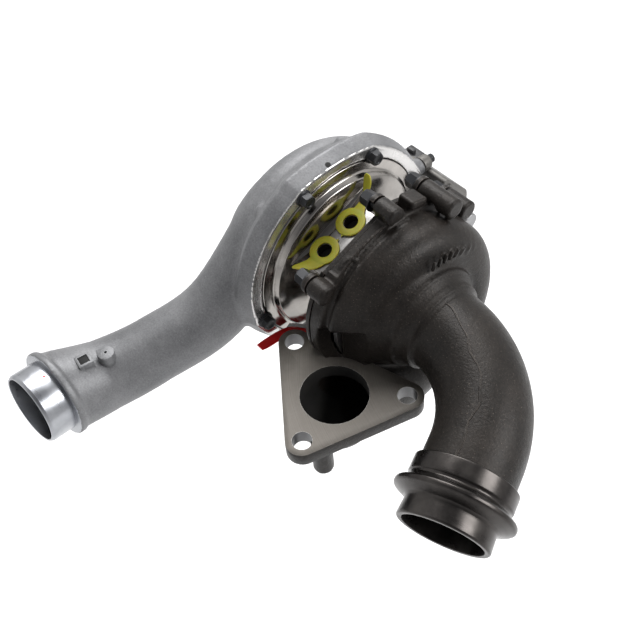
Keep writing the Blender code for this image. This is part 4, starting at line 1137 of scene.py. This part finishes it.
def make_linkage():
    shaft = Vector((0, *ACTUATOR_SHAFT))
    pivot = Vector((0, *CRANK_AT))
    far, near = shaft - Z * CRANK_ARM, pivot - Z * CRANK_ARM
    span = (near - far).length
    link = bar("link", 2.4, 4.0, span - 4.0, far + X * 27, near - far, 40)
    for at, bore in ((far, 2.4), (near, 2.9)):
        eye = turned("eye", ((28.9, bore), (28.9, 5.2), (25.1, 5.2), (25.1, bore)), at, X, 64, 0.4)
        link = merge("link", link, eye)
    settle(link, "steel", "link_rod", body="link_rod")
    down = (0, 0), (0, -CRANK_ARM)
    arm = merge(
        "arm",
        bar("arm_shaft", 5.0, 8.0, 24.5, shaft, X, 48, 0.5),
        slab("arm_bar", hull_of_circles(down, 4.6), 21, 24.5, X, shaft, 0.5),
        bar("arm_pin", 2.0, 24, 30, far, X, 32, 0.4),
        bar("arm_rivet", 3.1, 28.95, 29.9, far, X, 32, 0.3),
        bar("arm_hub", 6.4, 20.6, 25.4, shaft, X, 48, 0.6),
    )
    settle(arm, "steel", "actuator_arm", body="actuator_arm")
    inward = -CRANK_LEVER * pivot.normalized()
    lever = (0, 0), (inward.y, inward.z)
    crank = merge(
        "crank_piece",
        bar("crank_shaft", 2.6, 24, 43.4, pivot, X, 40, 0.3),
        slab("crank_arm", hull_of_circles(down, 4.5), 21, 24.5, X, pivot, 0.5),
        slab("crank_lever", hull_of_circles(lever, 2.0), 40.2, 43.4, X, pivot, 0.3),
        bar("crank_finger", 1.7, 42, 47.2, pivot + inward, X, 24, 0.2),
        bar("crank_pin", 2.0, 24, 30, near, X, 32, 0.4),
        bar("crank_rivet", 3.3, 20.2, 21.4, near, X, 32, 0.3),
    )
    settle(crank, "steel", "vnt_crank", body="crank")


def make_actuator():
    low, high = -22.0, 10.7
    outline = ((80, 11), (84, 11), (104, -12), (104, -60), (80, -60))
    case = slab("case", eased(outline, 3.5, 5), low, high, X, bevel=1.6, segments=3)
    raised = eased(((84, 6), (86, 6), (101, -14), (101, -56), (84, -56)), 3, 5)
    step = slab("case_step", raised, high - 1, high + 1.6, X, bevel=0.8, segments=3)
    neck = (14.7, 5.5), (14.7, 9.0), (8, 9.6), (8, 5.5)
    parts = [case, step, turned("neck", neck, (0, *ACTUATOR_SHAFT), X, 64, 0.8)]
    for z in (-18, -32, -46):
        parts.append(brick("rib", (28, 1.8, 2.2), (-6, 104.0, z), bevel=0.5))
    for x in (-16, -5, 6):
        parts.append(brick("side_rib", (2.0, 22, 1.6), (x, 92, -60.1), bevel=0.5))
    for x, z in ACTUATOR_FEET:
        profile = ((85.5, 2.3), (85.5, 5.0), (79, 5.6), (79, 2.3))
        parts.append(turned("ear", profile, (x, 0, z), Y, 56, 0.5))
    settle(merge("actuator_case", *parts), "actuator_casting", "actuator_body")
    for i, (x, z) in enumerate(ACTUATOR_FEET):
        screw = bolt(f"actuator_fixing_{i + 1}", (x, 85.8, z), Y, 3.9, 3.4, 4.0, 1.9, 15.5, 13 * i)
        settle(paint(screw, BLACK_STEEL), "steel", f"actuator_screw_{i + 1}")
    lid = ((91, 3.5), (103, -12.5), (103, -59), (91, -59))
    cover = slab("lid", eased(lid, 2.5, 5), low - 4.2, low - 0.3, X, bevel=1.2, segments=3)
    panel = eased(((93, -4), (100, -14), (100, -55), (93, -55)), 2, 5)
    raised = slab("lid_raise", panel, low - 4.5, low - 3.5, X, bevel=0.5)
    clips = [brick("clip", (5.0, 3.4, 4.6), (low - 2.2, y, z), bevel=0.6)
             for y, z in ((90.6, -12), (90.6, -50), (103.2, -24), (103.2, -48))]
    settle(merge("actuator_lid", cover, raised, *clips), "black_plastic", "actuator_cover")
    make_connector(low)


def make_connector(low):
    plug = brick("plug", (14, 12, 13), (low - 12, 96, -8), bevel=1.4, segments=3)
    carve(plug, [brick("socket", (12, 8.5, 9.5), (low - 15, 96, -8), bevel=1.0)])
    extras = [brick("latch", (6, 3.0, 5.0), (low - 13, 96, -0.9), bevel=0.5)]
    extras += [brick("key", (13, 1.2, 2.0), (low - 12, y, -8), bevel=0.4) for y in (89.9, 102.1)]
    settle(merge("actuator_plug", plug, *extras), "black_plastic", "actuator_connector")
    pins = [brick("pin", (7, 0.8, 0.8), (low - 12.5, 93.5 + 1.25 * k, z), bevel=0.15)
            for k in range(5) for z in (-9.6, -6.4)]
    settle(paint(merge("plug_pins", *pins), BRONZE), "steel")


# ---- the CAD pieces that stay, stage, light and camera ----


def dress_frame():
    """Gives each CAD piece that stays the finish of its slot."""
    for node in frame["nodes"].values():
        for slot in node.material_slots:
            slot.material = SLOT_LOOKS.get(slot.material.name.split(".")[0], STEEL)


def make_stage():
    low = CAD_BOX[0]
    floor_z = low[2] - 0.3
    size, cut = 6.0, 24
    step, row = 2 * size / cut, cut + 1
    co = [(i * step - size, j * step - size, floor_z) for i in range(row) for j in range(row)]
    faces = [(a, a + row, a + row + 1, a + 1)
             for i in range(cut) for a in range(i * row, i * row + cut)]
    mesh = bpy.data.meshes.new("floor")
    mesh.from_pydata(co, [], faces)
    floor = bpy.data.objects.new("floor", mesh)
    bpy.context.scene.collection.objects.link(floor)
    paper = Look("look_paper", roughness=0.9)
    cloud = paper.between(paper.noise(3.0), 0.3, 0.7)
    tone = paper.mix(cloud, (0.93, 0.93, 0.93), (0.95, 0.95, 0.95))
    mesh.materials.append(paper.finish(tone))


def area_light(name, at, size, power):
    """A square soft box that points at the object."""
    light = bpy.data.lights.new(name, "AREA")
    light.size, light.energy = size, power
    obj = bpy.data.objects.new(name, light)
    obj.location = at
    obj.rotation_euler = (-Vector(at)).to_track_quat("-Z", "Y").to_euler()
    bpy.context.scene.collection.objects.link(obj)


def make_light():
    """A bright white tent with a darker side behind the camera, and two soft boxes."""
    world = bpy.data.worlds.new("tent")
    world.use_nodes = True
    tree = world.node_tree
    back = tree.nodes["Background"]
    place = tree.nodes.new("ShaderNodeTexCoord")
    dot = tree.nodes.new("ShaderNodeVectorMath")
    dot.operation = "DOT_PRODUCT"
    dot.inputs[1].default_value = Vector((0.5, -0.3, 0.8)).normalized()
    span = tree.nodes.new("ShaderNodeMapRange")
    span.inputs["From Min"].default_value, span.inputs["From Max"].default_value = 0.35, 0.95
    ramp = tree.nodes.new("ShaderNodeMix")
    ramp.data_type = "RGBA"
    ramp.inputs[6].default_value = (1.0, 1.0, 1.0, 1)
    ramp.inputs[7].default_value = (0.2, 0.2, 0.21, 1)
    tree.links.new(place.outputs["Generated"], dot.inputs[0])
    tree.links.new(dot.outputs["Value"], span.inputs["Value"])
    tree.links.new(span.outputs[0], ramp.inputs[0])
    tree.links.new(ramp.outputs[2], back.inputs["Color"])
    back.inputs["Strength"].default_value = 0.9
    bpy.context.scene.world = world
    area_light("key", (-0.7, 0.5, 1.1), 0.9, 20)
    area_light("side", (0.9, 0.6, 0.8), 0.6, 13)


def make_camera():
    camera = bpy.data.cameras.new("camera")
    camera.lens, camera.sensor_width = 52.875, 36.0
    camera.clip_start = 0.01
    obj = bpy.data.objects.new("camera", camera)
    right = Vector((0.65697005, 0.75152445, -0.06001132))
    up = Vector((-0.56222583, 0.54140634, 0.62512502))
    back = right.cross(up)
    matrix = obj.matrix_world.copy()
    for k, axis in enumerate((right, up, back, Vector((0.24425, -0.188598, 0.451963)))):
        for row in range(3):
            matrix[row][k] = axis[row]
    obj.matrix_world = matrix
    bpy.context.scene.collection.objects.link(obj)
    bpy.context.scene.camera = obj


def main():
    make_camera()
    make_cover()
    make_bearing_housing()
    make_port_seals()
    make_drain_seal()
    make_turbine_housing()
    make_compressor_wheel()
    make_linkage()
    make_actuator()
    dress_frame()
    make_stage()
    make_light()
    bpy.context.scene.view_settings.view_transform = "Standard"


main()
